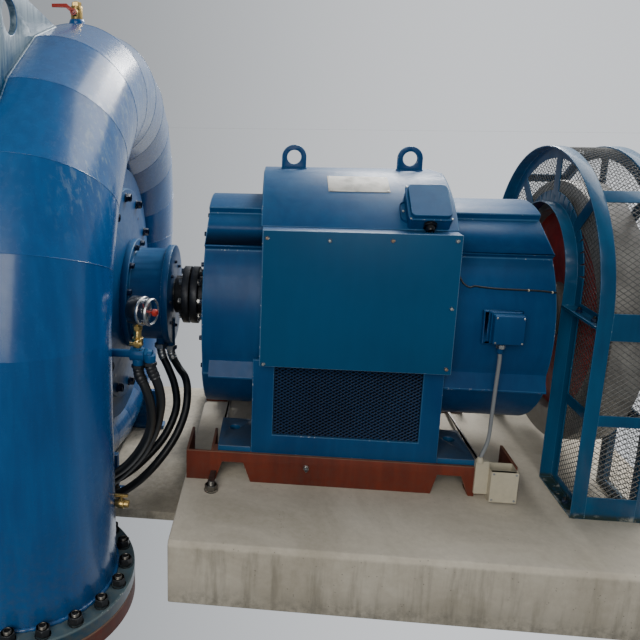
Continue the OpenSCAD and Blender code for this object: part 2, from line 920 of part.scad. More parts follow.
module guard_ties() {
  x0 = guard_x0 + iron_w;
  x1 = guard_x1 - iron_w;
  color([0.20, 0.36, 0.44])
    both_sides() {
      block([x0, -guard_r, plinth_h], [x1, -guard_r + iron_t, plinth_h + 90]);
      block([x0, -guard_r, plinth_h + 370], [x1, -guard_r + iron_t, plinth_h + 412]);
      block([x0, -guard_r, split_z - 42], [x1, -guard_r + iron_t, split_z + 56]);
      translate([0, 0, guard_arch_z])
        rotate([44, 0, 0])
          translate([x0, -26, guard_r - iron_t + 0.2])
            cube([x1 - x0, 52, iron_t]);
    }
}

module mesh_profile() {
  difference() {
    arch(guard_r - iron_t - mesh_t - gap, guard_arch_z);
    arch(arch_r + iron_t, arch_z);
  }
}

module guard_side_mesh() {
  color([0.35, 0.42, 0.45]) {
    along_x(guard_x0 + iron_w, guard_x0 + iron_w + mesh_t)
      mesh_profile();
    along_x(guard_x1 - iron_w - mesh_t, guard_x1 - iron_w)
      mesh_profile();
  }
}

module guard_rim_mesh() {
  color([0.35, 0.42, 0.45])
    along_x(guard_x0 + iron_w, guard_x1 - iron_w)
      difference() {
        arch(guard_r - iron_t, guard_arch_z);
        arch(guard_r - iron_t - mesh_t, guard_arch_z);
      }
}

// Turning parts.

module drive_shaft() {
  color([0.60, 0.60, 0.58])
    x_bar(shaft_r, head_x + 25, guard_x1 - 30);
}

module coupling_part() {
  difference() {
    union() {
      x_bar(coupling_hub_r, coupling_split + 12, coupling_half);
      x_bar(coupling_r, coupling_split, coupling_split + coupling_face);
    }
    x_bar(shaft_r, 0, coupling_half + 1);
  }
}

module shaft_coupling() {
  color([0.40, 0.41, 0.42])
    for (s = [0, 1])
      translate([coupling_x, 0, 0])
        mirror([s, 0, 0])
          coupling_part();
}

module flywheel() {
  color([0.50, 0.46, 0.44])
    difference() {
      x_bar(flywheel_r, flywheel_x - flywheel_w / 2, flywheel_x + flywheel_w / 2);
      for (s = [0, 1])
        mirror([s, 0, 0])
          translate([s == 0 ? 0 : -2 * flywheel_x, 0, 0])
            difference() {
              x_bar(flywheel_rim_r, flywheel_x + 20, flywheel_x + flywheel_w / 2 + 1);
              x_bar(110, flywheel_x, flywheel_x + flywheel_w / 2 + 2);
            }
      x_bar(shaft_r, flywheel_x - flywheel_w, flywheel_x + flywheel_w);
    }
}

// Drawing.

generator_plinth();
turbine_plinth();
mating_flange();
inlet_flange();
inlet_pipe();
spiral_casing();
stay_ring();
head_cover();
rear_cover();
draft_elbow();
casing_feet();
bearing_housing();
lifting_lug();
bleed_valve();
bleed_lever();
pressure_gauge();
gauge_cock();
pressure_tee();
front_hoses();
rear_hoses();
hose_manifold();
drain_tap();
stator_frame();
end_shields();
top_hood();
lifting_eyes();
terminal_box();
terminal_panel();
pedestal();
air_mesh();
foot_plates();
base_rails();
end_channels();
hood_junction_box();
barrel_junction_box();
sensor_conduit();
white_junction_box();
guard_near_frame();
guard_far_frame();
guard_ties();
guard_side_mesh();
guard_rim_mesh();
drive_shaft();
shaft_coupling();
flywheel();
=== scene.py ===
"""Looks of the hydroelectric generator set: paint, welds, bolts, mesh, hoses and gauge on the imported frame.

Everything is in metres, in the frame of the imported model: X runs along the shaft towards the flywheel,
Y runs away from the inlet side and Z runs up.
"""

import logging
import math
from dataclasses import dataclass, field
from enum import Enum

import bmesh
import bpy
import numpy as np
from mathutils import Matrix


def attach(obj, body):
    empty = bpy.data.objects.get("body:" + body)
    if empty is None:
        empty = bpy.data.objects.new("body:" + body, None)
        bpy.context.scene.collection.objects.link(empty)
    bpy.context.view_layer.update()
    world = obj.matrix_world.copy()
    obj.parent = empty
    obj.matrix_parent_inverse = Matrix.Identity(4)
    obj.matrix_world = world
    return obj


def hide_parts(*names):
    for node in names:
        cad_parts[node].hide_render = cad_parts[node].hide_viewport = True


LOG = logging.getLogger("generator_set")
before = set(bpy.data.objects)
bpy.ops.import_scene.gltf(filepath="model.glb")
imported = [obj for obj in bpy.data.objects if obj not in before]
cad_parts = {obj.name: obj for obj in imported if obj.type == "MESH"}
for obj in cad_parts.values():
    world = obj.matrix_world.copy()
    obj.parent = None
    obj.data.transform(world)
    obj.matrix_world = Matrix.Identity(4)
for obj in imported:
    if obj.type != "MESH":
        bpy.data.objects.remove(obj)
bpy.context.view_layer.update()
MM = 0.001

SHAFT_Z = 0.883
CASING_X = -1.120
INLET_Y = -0.895
PLINTH_TOP = 0.240
PAD_TOP = 0.040

Point = tuple[float, float, float]
Colour = tuple[float, float, float]


class Body(Enum):
    """The bodies that pieces ride on."""

    PLANT = "plant"
    ROTOR = "rotor"
    LEVER = "bleed_handle"


# Surfaces.


def bare_paint(faces: dict[int, np.ndarray]) -> dict[int, np.ndarray]:
    """Material index 0 for every face.

    Args:
        faces: corner count to index array.

    Returns:
        Corner count to an array of zeros, one per face.
    """
    return {size: np.zeros(len(rows), int) for size, rows in faces.items()}


@dataclass
class Shell:
    """One or more surfaces: points, faces by corner count, and a material index per face."""

    points: np.ndarray
    faces: dict[int, np.ndarray]
    paint: dict[int, np.ndarray] = field(default_factory=dict)

    def __post_init__(self) -> None:
        """Gives every face the first material where none is named."""
        if not self.paint:
            self.paint = bare_paint(self.faces)

    def painted(self, index: int) -> "Shell":
        """The same surface with every face on material slot index."""
        return Shell(self.points, self.faces, {s: np.full(len(f), index) for s, f in self.faces.items()})

    def moved(self, turn: np.ndarray, place: np.ndarray) -> "Shell":
        """The surface turned by a 3x3 matrix, then shifted."""
        return Shell(self.points @ np.asarray(turn, float).T + np.asarray(place, float), self.faces,
                     self.paint)

    def copies(self, turns: np.ndarray, places: np.ndarray) -> "Shell":
        """Many copies at once: each point is turned by every matrix and shifted by every place.

        Args:
            turns: (m, 3, 3) matrices.
            places: (m, 3) points.

        Returns:
            One shell that holds all m copies.
        """
        turns, places = np.asarray(turns, float), np.asarray(places, float)
        count = len(places)
        points = np.einsum("mij,pj->mpi", turns, self.points) + places[:, None]
        step = (np.arange(count) * len(self.points))[:, None, None]
        faces = {s: (f[None] + step).reshape(-1, s) for s, f in self.faces.items()}
        return Shell(points.reshape(-1, 3), faces, {s: np.tile(p, count) for s, p in self.paint.items()})


def joined(shells: list[Shell]) -> Shell:
    """Several shells as one, with the face indices shifted to match."""
    starts = np.concatenate([[0], np.cumsum([len(s.points) for s in shells])])
    sizes = sorted({k for s in shells for k in s.faces})
    faces = {k: np.concatenate([s.faces[k] + a for s,
                                a in zip(shells, starts) if k in s.faces]) for k in sizes}
    paint = {k: np.concatenate([s.paint[k] for s in shells if k in s.paint]) for k in sizes}
    return Shell(np.concatenate([s.points for s in shells]), faces, paint)


def lattice(grid: np.ndarray, wrap_rows: bool = False, wrap_cols: bool = True, cap: bool = False) -> Shell:
    """Quads over a grid of points: corner (i, j) joins (i+1, j), (i+1, j+1) and (i, j+1).

    Args:
        grid: (rows, cols, 3) points.
        wrap_rows: the last row joins the first.
        wrap_cols: the last column joins the first.
        cap: the first and last row are closed by one flat face each.

    Returns:
        The surface.
    """
    rows, cols = grid.shape[:2]
    index = np.arange(rows * cols).reshape(rows, cols)
    ends = np.array([index[0][::-1], index[-1]])
    if wrap_rows:
        index = np.vstack([index, index[:1]])
    if wrap_cols:
        index = np.hstack([index, index[:, :1]])
    quads = np.stack([index[:-1, :-1], index[1:, :-1], index[1:, 1:], index[:-1, 1:]], -1).reshape(-1, 4)
    shell = Shell(grid.reshape(-1, 3), {4: quads})
    return joined([shell, Shell(np.zeros((0, 3)), {cols: ends})]) if cap else shell


def turned(profile: np.ndarray, sides: int = 48, closed: bool = False) -> Shell:
    """A surface of revolution about Z: at angle t a profile point lies at (radius cos t, radius sin t, height).

    Args:
        profile: (k, 2) radius and height.
        sides: the steps round the axis.
        closed: the profile is a loop, as for a ring.

    Returns:
        The closed surface.
    """
    profile = np.asarray(profile, float)
    t = np.arange(sides) * 2 * np.pi / sides
    ring = np.stack([np.cos(t), np.sin(t), np.zeros(sides)], -1)
    grid = profile[:, None, :1] * ring[None] + profile[:, None, 1:] * np.array([0, 0, 1.0])
    return lattice(grid, wrap_rows=closed, cap=not closed)


def prism(outline: np.ndarray, low: float, high: float) -> Shell:
    """An outline in X and Y carried straight from z = low to z = high."""
    outline = np.asarray(outline, float)
    floor = np.column_stack([outline, np.full(len(outline), low)])
    roof = np.column_stack([outline, np.full(len(outline), high)])
    return lattice(np.stack([floor, roof]), cap=True)


def block(low: Point, high: Point) -> Shell:
    """A box between two corners, as a prism of its floor rectangle."""
    (x0, y0, z0), (x1, y1, z1) = low, high
    return prism(np.array([[x0, y0], [x1, y0], [x1, y1], [x0, y1]]), z0, z1)


def aim(direction: Point, up: Point = (0.13, 0.29, 1.0)) -> np.ndarray:
    """The 3x3 matrix whose Z column is the direction and whose Y column leans towards up."""
    z = np.asarray(direction, float)
    z = z / np.linalg.norm(z)
    y = np.asarray(up, float) - z * (np.asarray(up, float) @ z)
    y = y / np.linalg.norm(y)
    return np.stack([np.cross(y, z), y, z], -1)


def tube(path: np.ndarray, radius: np.ndarray | float, sides: int = 12, closed: bool = False,
         reference: Point = (1, 1, 0)) -> Shell:
    """A round tube: at each path point a circle lies square to the path's own direction.

    The circle's two axes are the unit cross product of the tangent with a fixed reference, and the cross
    product of the tangent with that.

    Args:
        path: (n, 3) centre points.
        radius: one radius, or one for each point.
        sides: steps round the tube.
        closed: the path is a loop.
        reference: a direction the path never runs along.

    Returns:
        The closed surface.
    """
    path = np.asarray(path, float)
    ahead, behind = np.roll(path, -1, 0), np.roll(path, 1, 0)
    if not closed:
        ahead[-1], behind[0] = path[-1], path[0]
    tangent = ahead - behind
    tangent /= np.linalg.norm(tangent, axis=1)[:, None]
    u = np.cross(tangent, np.asarray(reference, float))
    u /= np.linalg.norm(u, axis=1)[:, None]
    v = np.cross(tangent, u)
    t = np.arange(sides) * 2 * np.pi / sides
    r = np.broadcast_to(np.asarray(radius, float), (len(path),))[:, None, None]
    grid = path[:,
                None] + r * (np.cos(t)[None, :, None] * u[:, None] + np.sin(t)[None, :, None] * v[:, None])
    return lattice(grid, wrap_rows=closed, cap=not closed)


def bars(starts: np.ndarray, ends: np.ndarray, normal: np.ndarray, width: float, thick: float) -> Shell:
    """Straight four-sided strands: corners lie half a width aside and half a thickness along the normal.

    Args:
        starts: (m, 3) points.
        ends: (m, 3) points.
        normal: (3,) or (m, 3) unit normals of the sheet.
        width: the strand's width in the sheet.
        thick: the strand's thickness across it.

    Returns:
        All strands as one shell.
    """
    along = ends - starts
    along = along / np.linalg.norm(along, axis=1)[:, None]
    normal = np.broadcast_to(normal, starts.shape)
    aside = np.cross(normal, along) * width / 2
    out = normal * thick / 2
    ring = np.stack([aside, out, -aside, -out], 1)
    points = np.concatenate([starts[:, None] + ring, ends[:, None] + ring], 1)
    one = np.array([[0, 1, 5, 4], [1, 2, 6, 5], [2, 3, 7, 6], [3, 0, 4, 7], [3, 2, 1, 0], [4, 5, 6, 7]])
    faces = (one[None] + 8 * np.arange(len(starts))[:, None, None]).reshape(-1, 4)
    return Shell(points.reshape(-1, 3), {4: faces})


# Pieces.


def to_mesh(name: str, shell: Shell) -> bpy.types.Mesh:
    """Puts a shell into a mesh with foreach_set, then points its faces outwards."""
    mesh = bpy.data.meshes.new(name)
    sizes = sorted(shell.faces)
    loops = np.concatenate([shell.faces[k].ravel() for k in sizes]).astype(np.int32)
    totals = np.concatenate([np.full(len(shell.faces[k]), k) for k in sizes]).astype(np.int32)
    paint = np.concatenate([shell.paint[k] for k in sizes]).astype(np.int32)
    mesh.vertices.add(len(shell.points))
    mesh.vertices.foreach_set("co", shell.points.astype(np.float32).ravel())
    mesh.loops.add(len(loops))
    mesh.loops.foreach_set("vertex_index", loops)
    mesh.polygons.add(len(totals))
    mesh.polygons.foreach_set("loop_start", (np.cumsum(totals) - totals).astype(np.int32))
    mesh.polygons.foreach_set("material_index", paint)
    mesh.update(calc_edges=True)
    mesh.validate()
    work = bmesh.new()
    work.from_mesh(mesh)
    bmesh.ops.recalc_face_normals(work, faces=work.faces)
    work.to_mesh(mesh)
    work.free()
    return mesh


def soften(piece: bpy.types.Object, width: float, steps: int = 2, angle: float = 32.0,
           edge_slot: int = -1) -> None:
    """Rounds the piece's hard edges by a live bevel whose faces may take a material slot of their own."""
    bevel = piece.modifiers.new("edges", "BEVEL")
    bevel.width = width
    bevel.segments = steps
    bevel.limit_method = "ANGLE"
    bevel.angle_limit = math.radians(angle)
    bevel.use_clamp_overlap = False
    bevel.harden_normals = True
    bevel.material = edge_slot


def dress(mesh: bpy.types.Mesh, name: str, finishes: list[bpy.types.Material], body: Body, slot: str,
          replaces: tuple[str, ...] = (), width: float = 0.0, steps: int = 2, edge_slot: int = -1,
          smooth: float = 32.0) -> bpy.types.Object:
    """Makes a mesh a finished piece of the object.

    Args:
        mesh: the piece's mesh, in place.
        name: the piece's name.
        finishes: its materials.
        body: the body it rides on.
        slot: the record's material slot; not used.
        replaces: the nodes it stands for.
        width: the edge rounding, or 0 for none.
        steps: the steps of that rounding.
        edge_slot: the material slot of the rounded edges, or -1 for their neighbours'.
        smooth: faces that meet under this angle are shaded as one.

    Returns:
        The piece.
    """
    piece = bpy.data.objects.new(name, mesh)
    bpy.context.scene.collection.objects.link(piece)
    for finish in finishes:
        mesh.materials.append(finish)
    mesh.polygons.foreach_set("use_smooth", np.ones(len(mesh.polygons), bool))
    if width:
        soften(piece, width, steps, smooth, edge_slot)
    else:
        mesh.set_sharp_from_angle(angle=math.radians(smooth))
    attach(piece, body.value)
    if replaces:
        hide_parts(*replaces)
    LOG.info("piece %s: %d faces on %s", name, len(mesh.polygons), body.value)
    return piece


def make(shell: Shell, name: str, finishes: list[bpy.types.Material], body: Body, slot: str,
         **more: object) -> bpy.types.Object:
    """A piece from a shell; the rest is as for dress."""
    return dress(to_mesh(name, shell), name, finishes, body, slot, **more)


def copied(node: str) -> bpy.types.Mesh:
    """A merged copy of a node's mesh, with its flat triangles joined into whole faces."""
    work = bmesh.new()
    work.from_mesh(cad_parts[node].data)
    bmesh.ops.remove_doubles(work, verts=work.verts, dist=1e-5)
    bmesh.ops.dissolve_limit(work, angle_limit=math.radians(0.4), verts=work.verts, edges=work.edges)
    mesh = bpy.data.meshes.new(node + "_dress")
    work.to_mesh(mesh)
    work.free()
    return mesh


def redress(node: str, finishes: list[bpy.types.Material], slot: str, body: Body = Body.PLANT,
            width: float = 0.002,
            steps: int = 2, edge_slot: int = -1, smooth: float = 32.0) -> bpy.types.Object:
    """A softened copy that stands for a node; the arguments are as for dress."""
    return dress(copied(node), node + "_dress", finishes, body, slot, (node,), width, steps, edge_slot,
                 smooth)


# Small parts.


def hex_nut(across: float, height: float) -> Shell:
    """A hexagon of polar radius (across / 2) / cos(angle from nearest flat), cut by a cone at each end."""
    t = np.arange(36) * np.pi / 18
    flat = (across / 2) / np.cos((t % (np.pi / 3)) - np.pi / 6)
    rise = np.array([0.0, 0.03, 0.06]) * across
    cone = 0.475 * across + rise * 1.73
    levels = np.concatenate([rise, height - rise[::-1]])
    radius = np.minimum(flat[None], np.concatenate([cone, cone[::-1]])[:, None])
    grid = np.stack([radius * np.cos(t), radius * np.sin(t), np.broadcast_to(levels[:, None], radius.shape)],
                    -1)
    return lattice(grid, cap=True)


def disc(radius: float, low: float, high: float, sides: int = 28, edge: float = 0.12) -> Shell:
    """A washer or cap: a round plate whose upper rim is broken by a small slope."""
    cut = edge * (high - low)
    return turned(np.array([[radius, low], [radius, high - cut], [radius - cut, high]]), sides)


def thread(radius: float, low: float, high: float, pitch: float = 0.0025, sides: int = 14) -> Shell:
    """A threaded end: the radius goes up and down by a third of the pitch between low and high."""
    count = max(2, int((high - low) / pitch)) * 2
    z = np.linspace(low, high - 0.4 * pitch, count)
    r = radius - 0.35 * pitch * (np.arange(count) % 2)
    profile = np.vstack([np.column_stack([r, z]), [[radius * 0.82, high]]])
    return turned(profile, sides)


@dataclass(frozen=True)
class Fastener:
    """A nut or bolt head on a washer, with the stud end that stands out of it."""

    across: float
    height: float
    washer: float = 0.003
    stud: float = 0.0
    stud_out: float = 0.0

    def shell(self) -> Shell:
        """The parts stacked along Z from the seat at z = 0: washer and nut on slot 0, stud on slot 1."""
        parts = [disc(self.across * 0.62, 0, self.washer),
                 hex_nut(self.across, self.height).moved(np.eye(3), (0, 0, self.washer))]
        if self.stud_out:
            top = self.washer + self.height
            parts.append(thread(self.stud, top - 0.002, top + self.stud_out).painted(1))
        return joined(parts)


def screw_head(radius: float, height: float) -> Shell:
    """A domed screw head: the radius falls as the cosine of the rise."""
    rise = np.linspace(0, 1, 5)
    profile = np.column_stack([radius * np.cos(rise * 1.2), height * np.sin(rise * np.pi / 2)])
    return turned(np.vstack([[radius, -0.0005], profile]), 16)


def ring_places(centre: Point, radius: float, count: int, axis: str = "x", first: float = 0.0) -> np.ndarray:
    """Evenly spaced points on a circle about an axis through the centre, from the angle first in degrees."""
    t = np.radians(first) + np.arange(count) * 2 * np.pi / count
    zero = np.zeros(count)
    flat = {"x": np.stack([zero, -np.cos(t), np.sin(t)], -1),
            "z": np.stack([np.cos(t), np.sin(t), zero], -1)}[axis]
    return np.asarray(centre, float) + radius * flat


def planted(part: Shell, places: np.ndarray, direction: Point, seed: int = 1) -> Shell:
    """Copies of a part that stand on the places along one direction, each turned by an angle of its own."""
    places = np.asarray(places, float).reshape(-1, 3)
    spin = np.random.default_rng(seed).uniform(0, np.pi / 3, len(places))
    c, s, o, i = np.cos(spin), np.sin(spin), np.zeros_like(spin), np.ones_like(spin)
    about = np.stack([np.stack([c, -s, o], -1), np.stack([s, c, o], -1), np.stack([o, o, i], -1)], 1)
    return part.copies(np.einsum("ij,mjk->mik", aim(direction), about), places)


def weld(path: np.ndarray, radius: float, closed: bool = True, reference: Point = (1, 0.01, 0),
         seed: int = 3) -> Shell:
    """A weld bead: a tube whose radius ripples with every few millimetres of run."""
    path = np.asarray(path, float)
    rng = np.random.default_rng(seed)
    ripple = 1 + 0.16 * np.sin(np.arange(len(path)) * 2.1) + 0.10 * rng.standard_normal(len(path)).clip(-1,
                                                                                                        1)
    return tube(path, radius * ripple, 8, closed, reference)


def circle(centre: Point, radius: float, count: int, axis: str = "x") -> np.ndarray:
    """The points of a circle, for welds and rims."""
    return ring_places(centre, radius, count, axis)


# Finishes.


class Recipe:
    """A node material while it is being mixed."""

    def __init__(self, name: str) -> None:
        """Starts an empty material with its Principled shader and output."""
        self.material = bpy.data.materials.new(name)
        self.material.use_nodes = True
        self.tree = self.material.node_tree
        self.tree.nodes.clear()
        self.shader = self.tree.nodes.new("ShaderNodeBsdfPrincipled")
        self.out = self.tree.nodes.new("ShaderNodeOutputMaterial")
        self.tree.links.new(self.shader.outputs[0], self.out.inputs[0])
        self.object_point = self.tree.nodes.new("ShaderNodeTexCoord").outputs["Object"]

    def put(self, socket: bpy.types.NodeSocket, value: object) -> None:
        """Links a socket to another, or sets its number or colour."""
        if isinstance(value, bpy.types.NodeSocket):
            self.tree.links.new(value, socket)
        elif value is not None:
            socket.default_value = value

    def node(self, kind: str, *values: object, **settings: object) -> bpy.types.Node:
        """Adds a node, sets its settings, and fills its inputs in order."""
        made = self.tree.nodes.new("ShaderNode" + kind)
        for key, value in settings.items():
            setattr(made, key, value)
        for socket, value in zip(made.inputs, values):
            self.put(socket, value)
        return made

    def spread(self, scale: Point = (1, 1, 1), turn: Point = (0, 0, 0),
               shift: Point = (0, 0, 0)) -> bpy.types.NodeSocket:
        """The object's point, scaled and turned for a stretched pattern."""
        made = self.node("Mapping", self.object_point)
        made.inputs["Location"].default_value = shift
        made.inputs["Rotation"].default_value = turn
        made.inputs["Scale"].default_value = scale
        return made.outputs[0]

    def noise(self, scale: float, detail: float = 4.0, rough: float = 0.55,
              at: bpy.types.NodeSocket | None = None,
              bend: float = 0.0) -> bpy.types.NodeSocket:
        """Fractal noise, 0 to 1, with this many features to the metre."""
        made = self.node("TexNoise")
        self.put(made.inputs["Vector"], at or self.object_point)
        made.inputs["Scale"].default_value = scale
        made.inputs["Detail"].default_value = detail
        made.inputs["Roughness"].default_value = rough
        made.inputs["Distortion"].default_value = bend
        return made.outputs[0]

    def cells(self, scale: float, at: bpy.types.NodeSocket | None = None) -> bpy.types.NodeSocket:
        """Distance to the nearest of many scattered spots."""
        made = self.node("TexVoronoi")
        self.put(made.inputs["Vector"], at or self.object_point)
        made.inputs["Scale"].default_value = scale
        return made.outputs["Distance"]

    def fit(self, value: bpy.types.NodeSocket, a: float, b: float, low: float = 0.0,
            high: float = 1.0) -> bpy.types.NodeSocket:
        """Maps a to b onto low to high, held at both ends."""
        made = self.node("MapRange", value, a, b, low, high, interpolation_type="SMOOTHSTEP")
        return made.outputs[0]

    def math(self, kind: str, a: object, b: object = None) -> bpy.types.NodeSocket:
        """One sum on two numbers or sockets."""
        return self.node("Math", a, b, operation=kind).outputs[0]

    def mix(self, share: object, first: object, second: object, how: str = "MIX") -> bpy.types.NodeSocket:
        """Blends two colours."""
        made = self.tree.nodes.new("ShaderNodeMix")
        made.data_type, made.blend_type = "RGBA", how
        for at, value in ((0, share), (6, first), (7, second)):
            if isinstance(value, tuple):
                value = (*value, 1.0)
            self.put(made.inputs[at], value)
        return made.outputs[2]

    def facing_up(self, low: float = 0.35, high: float = 0.95) -> bpy.types.NodeSocket:
        """Rises from 0 to 1 as the surface turns up, where dust settles; the paints also lay a painted top
        sheen there.
        """
        split = self.node("SeparateXYZ", self.tree.nodes.new("ShaderNodeNewGeometry").outputs["Normal"])
        return self.fit(split.outputs[2], low, high)

    def height(self, low: float, high: float) -> bpy.types.NodeSocket:
        """Rises from 0 to 1 between two heights above the ground."""
        return self.fit(self.node("SeparateXYZ", self.object_point).outputs[2], low, high)

    def radius(self, low: float, high: float) -> bpy.types.NodeSocket:
        """Rises from 0 to 1 between two distances from the shaft axis."""
        split = self.node("SeparateXYZ", self.spread(shift=(0, 0, -SHAFT_Z)))
        flat = self.node("CombineXYZ", 0.0, split.outputs[1], split.outputs[2])
        return self.fit(self.node("VectorMath", flat.outputs[0], operation="LENGTH").outputs["Value"], low,
                        high)

    def bump(self, height: bpy.types.NodeSocket, strength: float, distance: float,
             under: bpy.types.NodeSocket | None = None) -> bpy.types.NodeSocket:
        """A bump from a height socket, over another bump if one is given."""
        made = self.node("Bump")
        made.inputs["Strength"].default_value = strength
        made.inputs["Distance"].default_value = distance
        self.put(made.inputs["Height"], height)
        if under is not None:
            self.put(made.inputs["Normal"], under)
        return made.outputs[0]

    def done(self, **inputs: object) -> bpy.types.Material:
        """Fills the shader's sockets by name (blanks as underscores) and returns the material."""
        for key, value in inputs.items():
            if isinstance(value, tuple) and len(value) == 3:
                value = (*value, 1.0)
            self.put(self.shader.inputs[key.replace("_", " ")], value)
        return self.material


@dataclass(frozen=True)
class Paint:
    """Brushed or sprayed enamel: colour drift, lap marks, settled dust with a painted top sheen, chips, and a
    painted highlight on edges.
    """

    name: str
    colour: Colour
    deep: Colour
    dust: float = 0.35
    rough: float = 0.34
    lap: float = 0.5
    chips: float = 0.0
    grime: float = 0.35
    coat: float = 0.25
    # Upward faces lighten towards this colour by dust and a painted top sheen, and edges by a painted
    # highlight.
    dust_and_sheen: Colour = (0.42, 0.47, 0.50)
    under: Colour = (0.50, 0.52, 0.52)
    # Pale streaks on the casing's right shoulder: partly scuffs, partly a painted highlight.
    scuffs_and_glint: float = 0.0
    mud_top: float = 0.0
    shine: float = 0.36

    def make(self, edge_wear_and_glint: bool = False) -> bpy.types.Material:
        """Mixes the paint.

        The colour runs between the two shades by broad noise and by stretched brush laps. Dust, with a painted
        top sheen, lightens what faces up, grime darkens what is low, and chips show what lies under the paint.
        On edges the paint is lightened as a painted highlight, and the casing's right shoulder takes pale
        streaks that are partly scuffs and partly a painted highlight.

        Args:
            edge_wear_and_glint: the variant for edges, with more chips and the paint lightened as a painted
                edge highlight.

        Returns:
            The material.
        """
        r = Recipe(self.name + ("_edge" if edge_wear_and_glint else ""))
        drift = r.noise(2.2, 3.0, 0.5)
        laps = r.noise(3.0, 5.0, 0.6, r.spread((9, 9, 1.2), (0.12, 0.05, 0.2)), 0.3)
        fine = r.noise(46.0, 5.0, 0.62)
        share = r.math("ADD", r.math("MULTIPLY", r.fit(drift, 0.32, 0.70), 0.62),
                       r.math("MULTIPLY", r.fit(laps, 0.35, 0.72), 0.38 * self.lap * 2))
        colour = r.mix(share, self.deep, self.colour)
        grime = r.math("MULTIPLY", r.math("SUBTRACT", 1.0, r.height(0.02, 0.55)), r.fit(fine, 0.30, 0.75))
        colour = r.mix(r.math("MULTIPLY", grime, self.grime), colour, (0.075, 0.075, 0.060))
        # Pale streaks on the right shoulder, partly scuffs and partly a painted highlight.
        if self.scuffs_and_glint:
            streaks = r.noise(14.0, 8.0, 0.72, r.spread((4.0, 4.0, 0.9), (0.2, 0.3, 0.0)), 0.3)
            across = r.fit(r.node("SeparateXYZ", r.object_point).outputs[0], -0.99, -0.87)
            place = r.math("MULTIPLY", across, r.height(1.25, 1.55))
            pale = r.math("MULTIPLY", r.fit(streaks, 0.50, 0.62), r.math("MULTIPLY", place, self.scuffs_and_glint))
            colour = r.mix(pale, colour, (0.24, 0.34, 0.40))
        # Dust and a painted top sheen: upward faces are lightened towards the dust-and-sheen colour.
        dust_and_top_sheen = r.math("MULTIPLY", r.facing_up(),
                        r.fit(r.noise(9.0, 6.0, 0.66, None, 0.6), 0.22, 0.72, 0.35, 1.0))
        dust_and_top_sheen = r.math("MULTIPLY", dust_and_top_sheen, self.dust)
        colour = r.mix(dust_and_top_sheen, colour, self.dust_and_sheen)
        if self.mud_top:
            cloud = r.noise(21.0, 6.0, 0.7, None, 0.4)
            mud = r.math("SUBTRACT", 1.0, r.height(self.mud_top - 0.004, self.mud_top + 0.016))
            mud = r.math("MULTIPLY", mud, r.fit(fine, 0.25, 0.55, 0.45, 0.95))
            soil = r.mix(r.fit(cloud, 0.52, 0.66), (0.020, 0.038, 0.030), (0.30, 0.31, 0.28))
            colour = r.mix(mud, colour, soil)
        rough = r.math("ADD", r.fit(fine, 0.2, 0.8, self.rough - 0.05, self.rough + 0.07),
                       r.math("MULTIPLY", dust_and_top_sheen, 0.35))
        height = r.math("ADD", r.math("MULTIPLY", laps, 0.6),
                        r.math("MULTIPLY", r.noise(240.0, 2.0, 0.5), 0.25))
        if edge_wear_and_glint or self.chips:
            gate = 0.60 if edge_wear_and_glint else 0.735 - 0.05 * self.chips
            spots = r.fit(r.noise(70.0 if edge_wear_and_glint else 38.0, 6.0, 0.68, None, 0.4), gate, gate + 0.025)
            broad = r.fit(r.noise(7.0, 3.0, 0.5), 0.42, 0.62)
            bare = r.math("MULTIPLY", spots, broad)
            # On edges the paint is lightened towards the dust-and-sheen colour: a painted edge highlight over
            # the wear.
            rub_and_glint = r.mix(0.34 if edge_wear_and_glint else 0.0, colour, self.dust_and_sheen) if edge_wear_and_glint else colour
            colour = r.mix(bare, rub_and_glint, self.under)
            height = r.math("SUBTRACT", height, r.math("MULTIPLY", bare, 0.5))
        return r.done(Base_Color=colour, Roughness=rough, Normal=r.bump(height, 0.22, 0.0012),
                      Coat_Weight=self.coat,
                      Coat_Roughness=0.12, Specular_IOR_Level=self.shine)


@dataclass(frozen=True)
class Metal:
    """Bare or plated metal with brushing, tarnish and, where it is old, rust."""

    name: str
    colour: Colour
    tarnish: Colour
    rough: float = 0.36
    metallic: float = 1.0
    grain: Point = (1, 1, 1)
    rust: float = 0.0
    stain: float = 0.5

    def make(self) -> bpy.types.Material:
        """Mixes the metal: a stretched grain roughens it, and noise spreads tarnish and rust over it."""
        r = Recipe(self.name)
        grain = r.noise(260.0, 3.0, 0.6, r.spread(self.grain))
        cloud = r.noise(24.0, 6.0, 0.62, None, 0.5)
        colour = r.mix(r.math("MULTIPLY", r.fit(cloud, 0.34, 0.72), self.stain), self.colour, self.tarnish)
        rough = r.math("ADD", r.fit(grain, 0.25, 0.8, self.rough - 0.07, self.rough + 0.09),
                       r.fit(cloud, 0.40, 0.78, 0.0, 0.18))
        metallic: object = self.metallic
        if self.rust:
            spots = r.math("MULTIPLY",
                           r.fit(r.noise(34.0, 8.0, 0.72, None, 0.7), 0.70 - 0.22 * self.rust,
                                 0.82 - 0.2 * self.rust), 0.92)
            red = r.mix(r.noise(90.0, 4.0), (0.115, 0.038, 0.016), (0.26, 0.105, 0.042))
            colour = r.mix(spots, colour, red)
            rough = r.math("ADD", rough, r.math("MULTIPLY", spots, 0.35))
            metallic = r.math("MULTIPLY", r.math("SUBTRACT", 1.0, spots), self.metallic)
        return r.done(Base_Color=colour, Metallic=metallic, Roughness=rough,
                      Normal=r.bump(grain, 0.10, 0.0006))


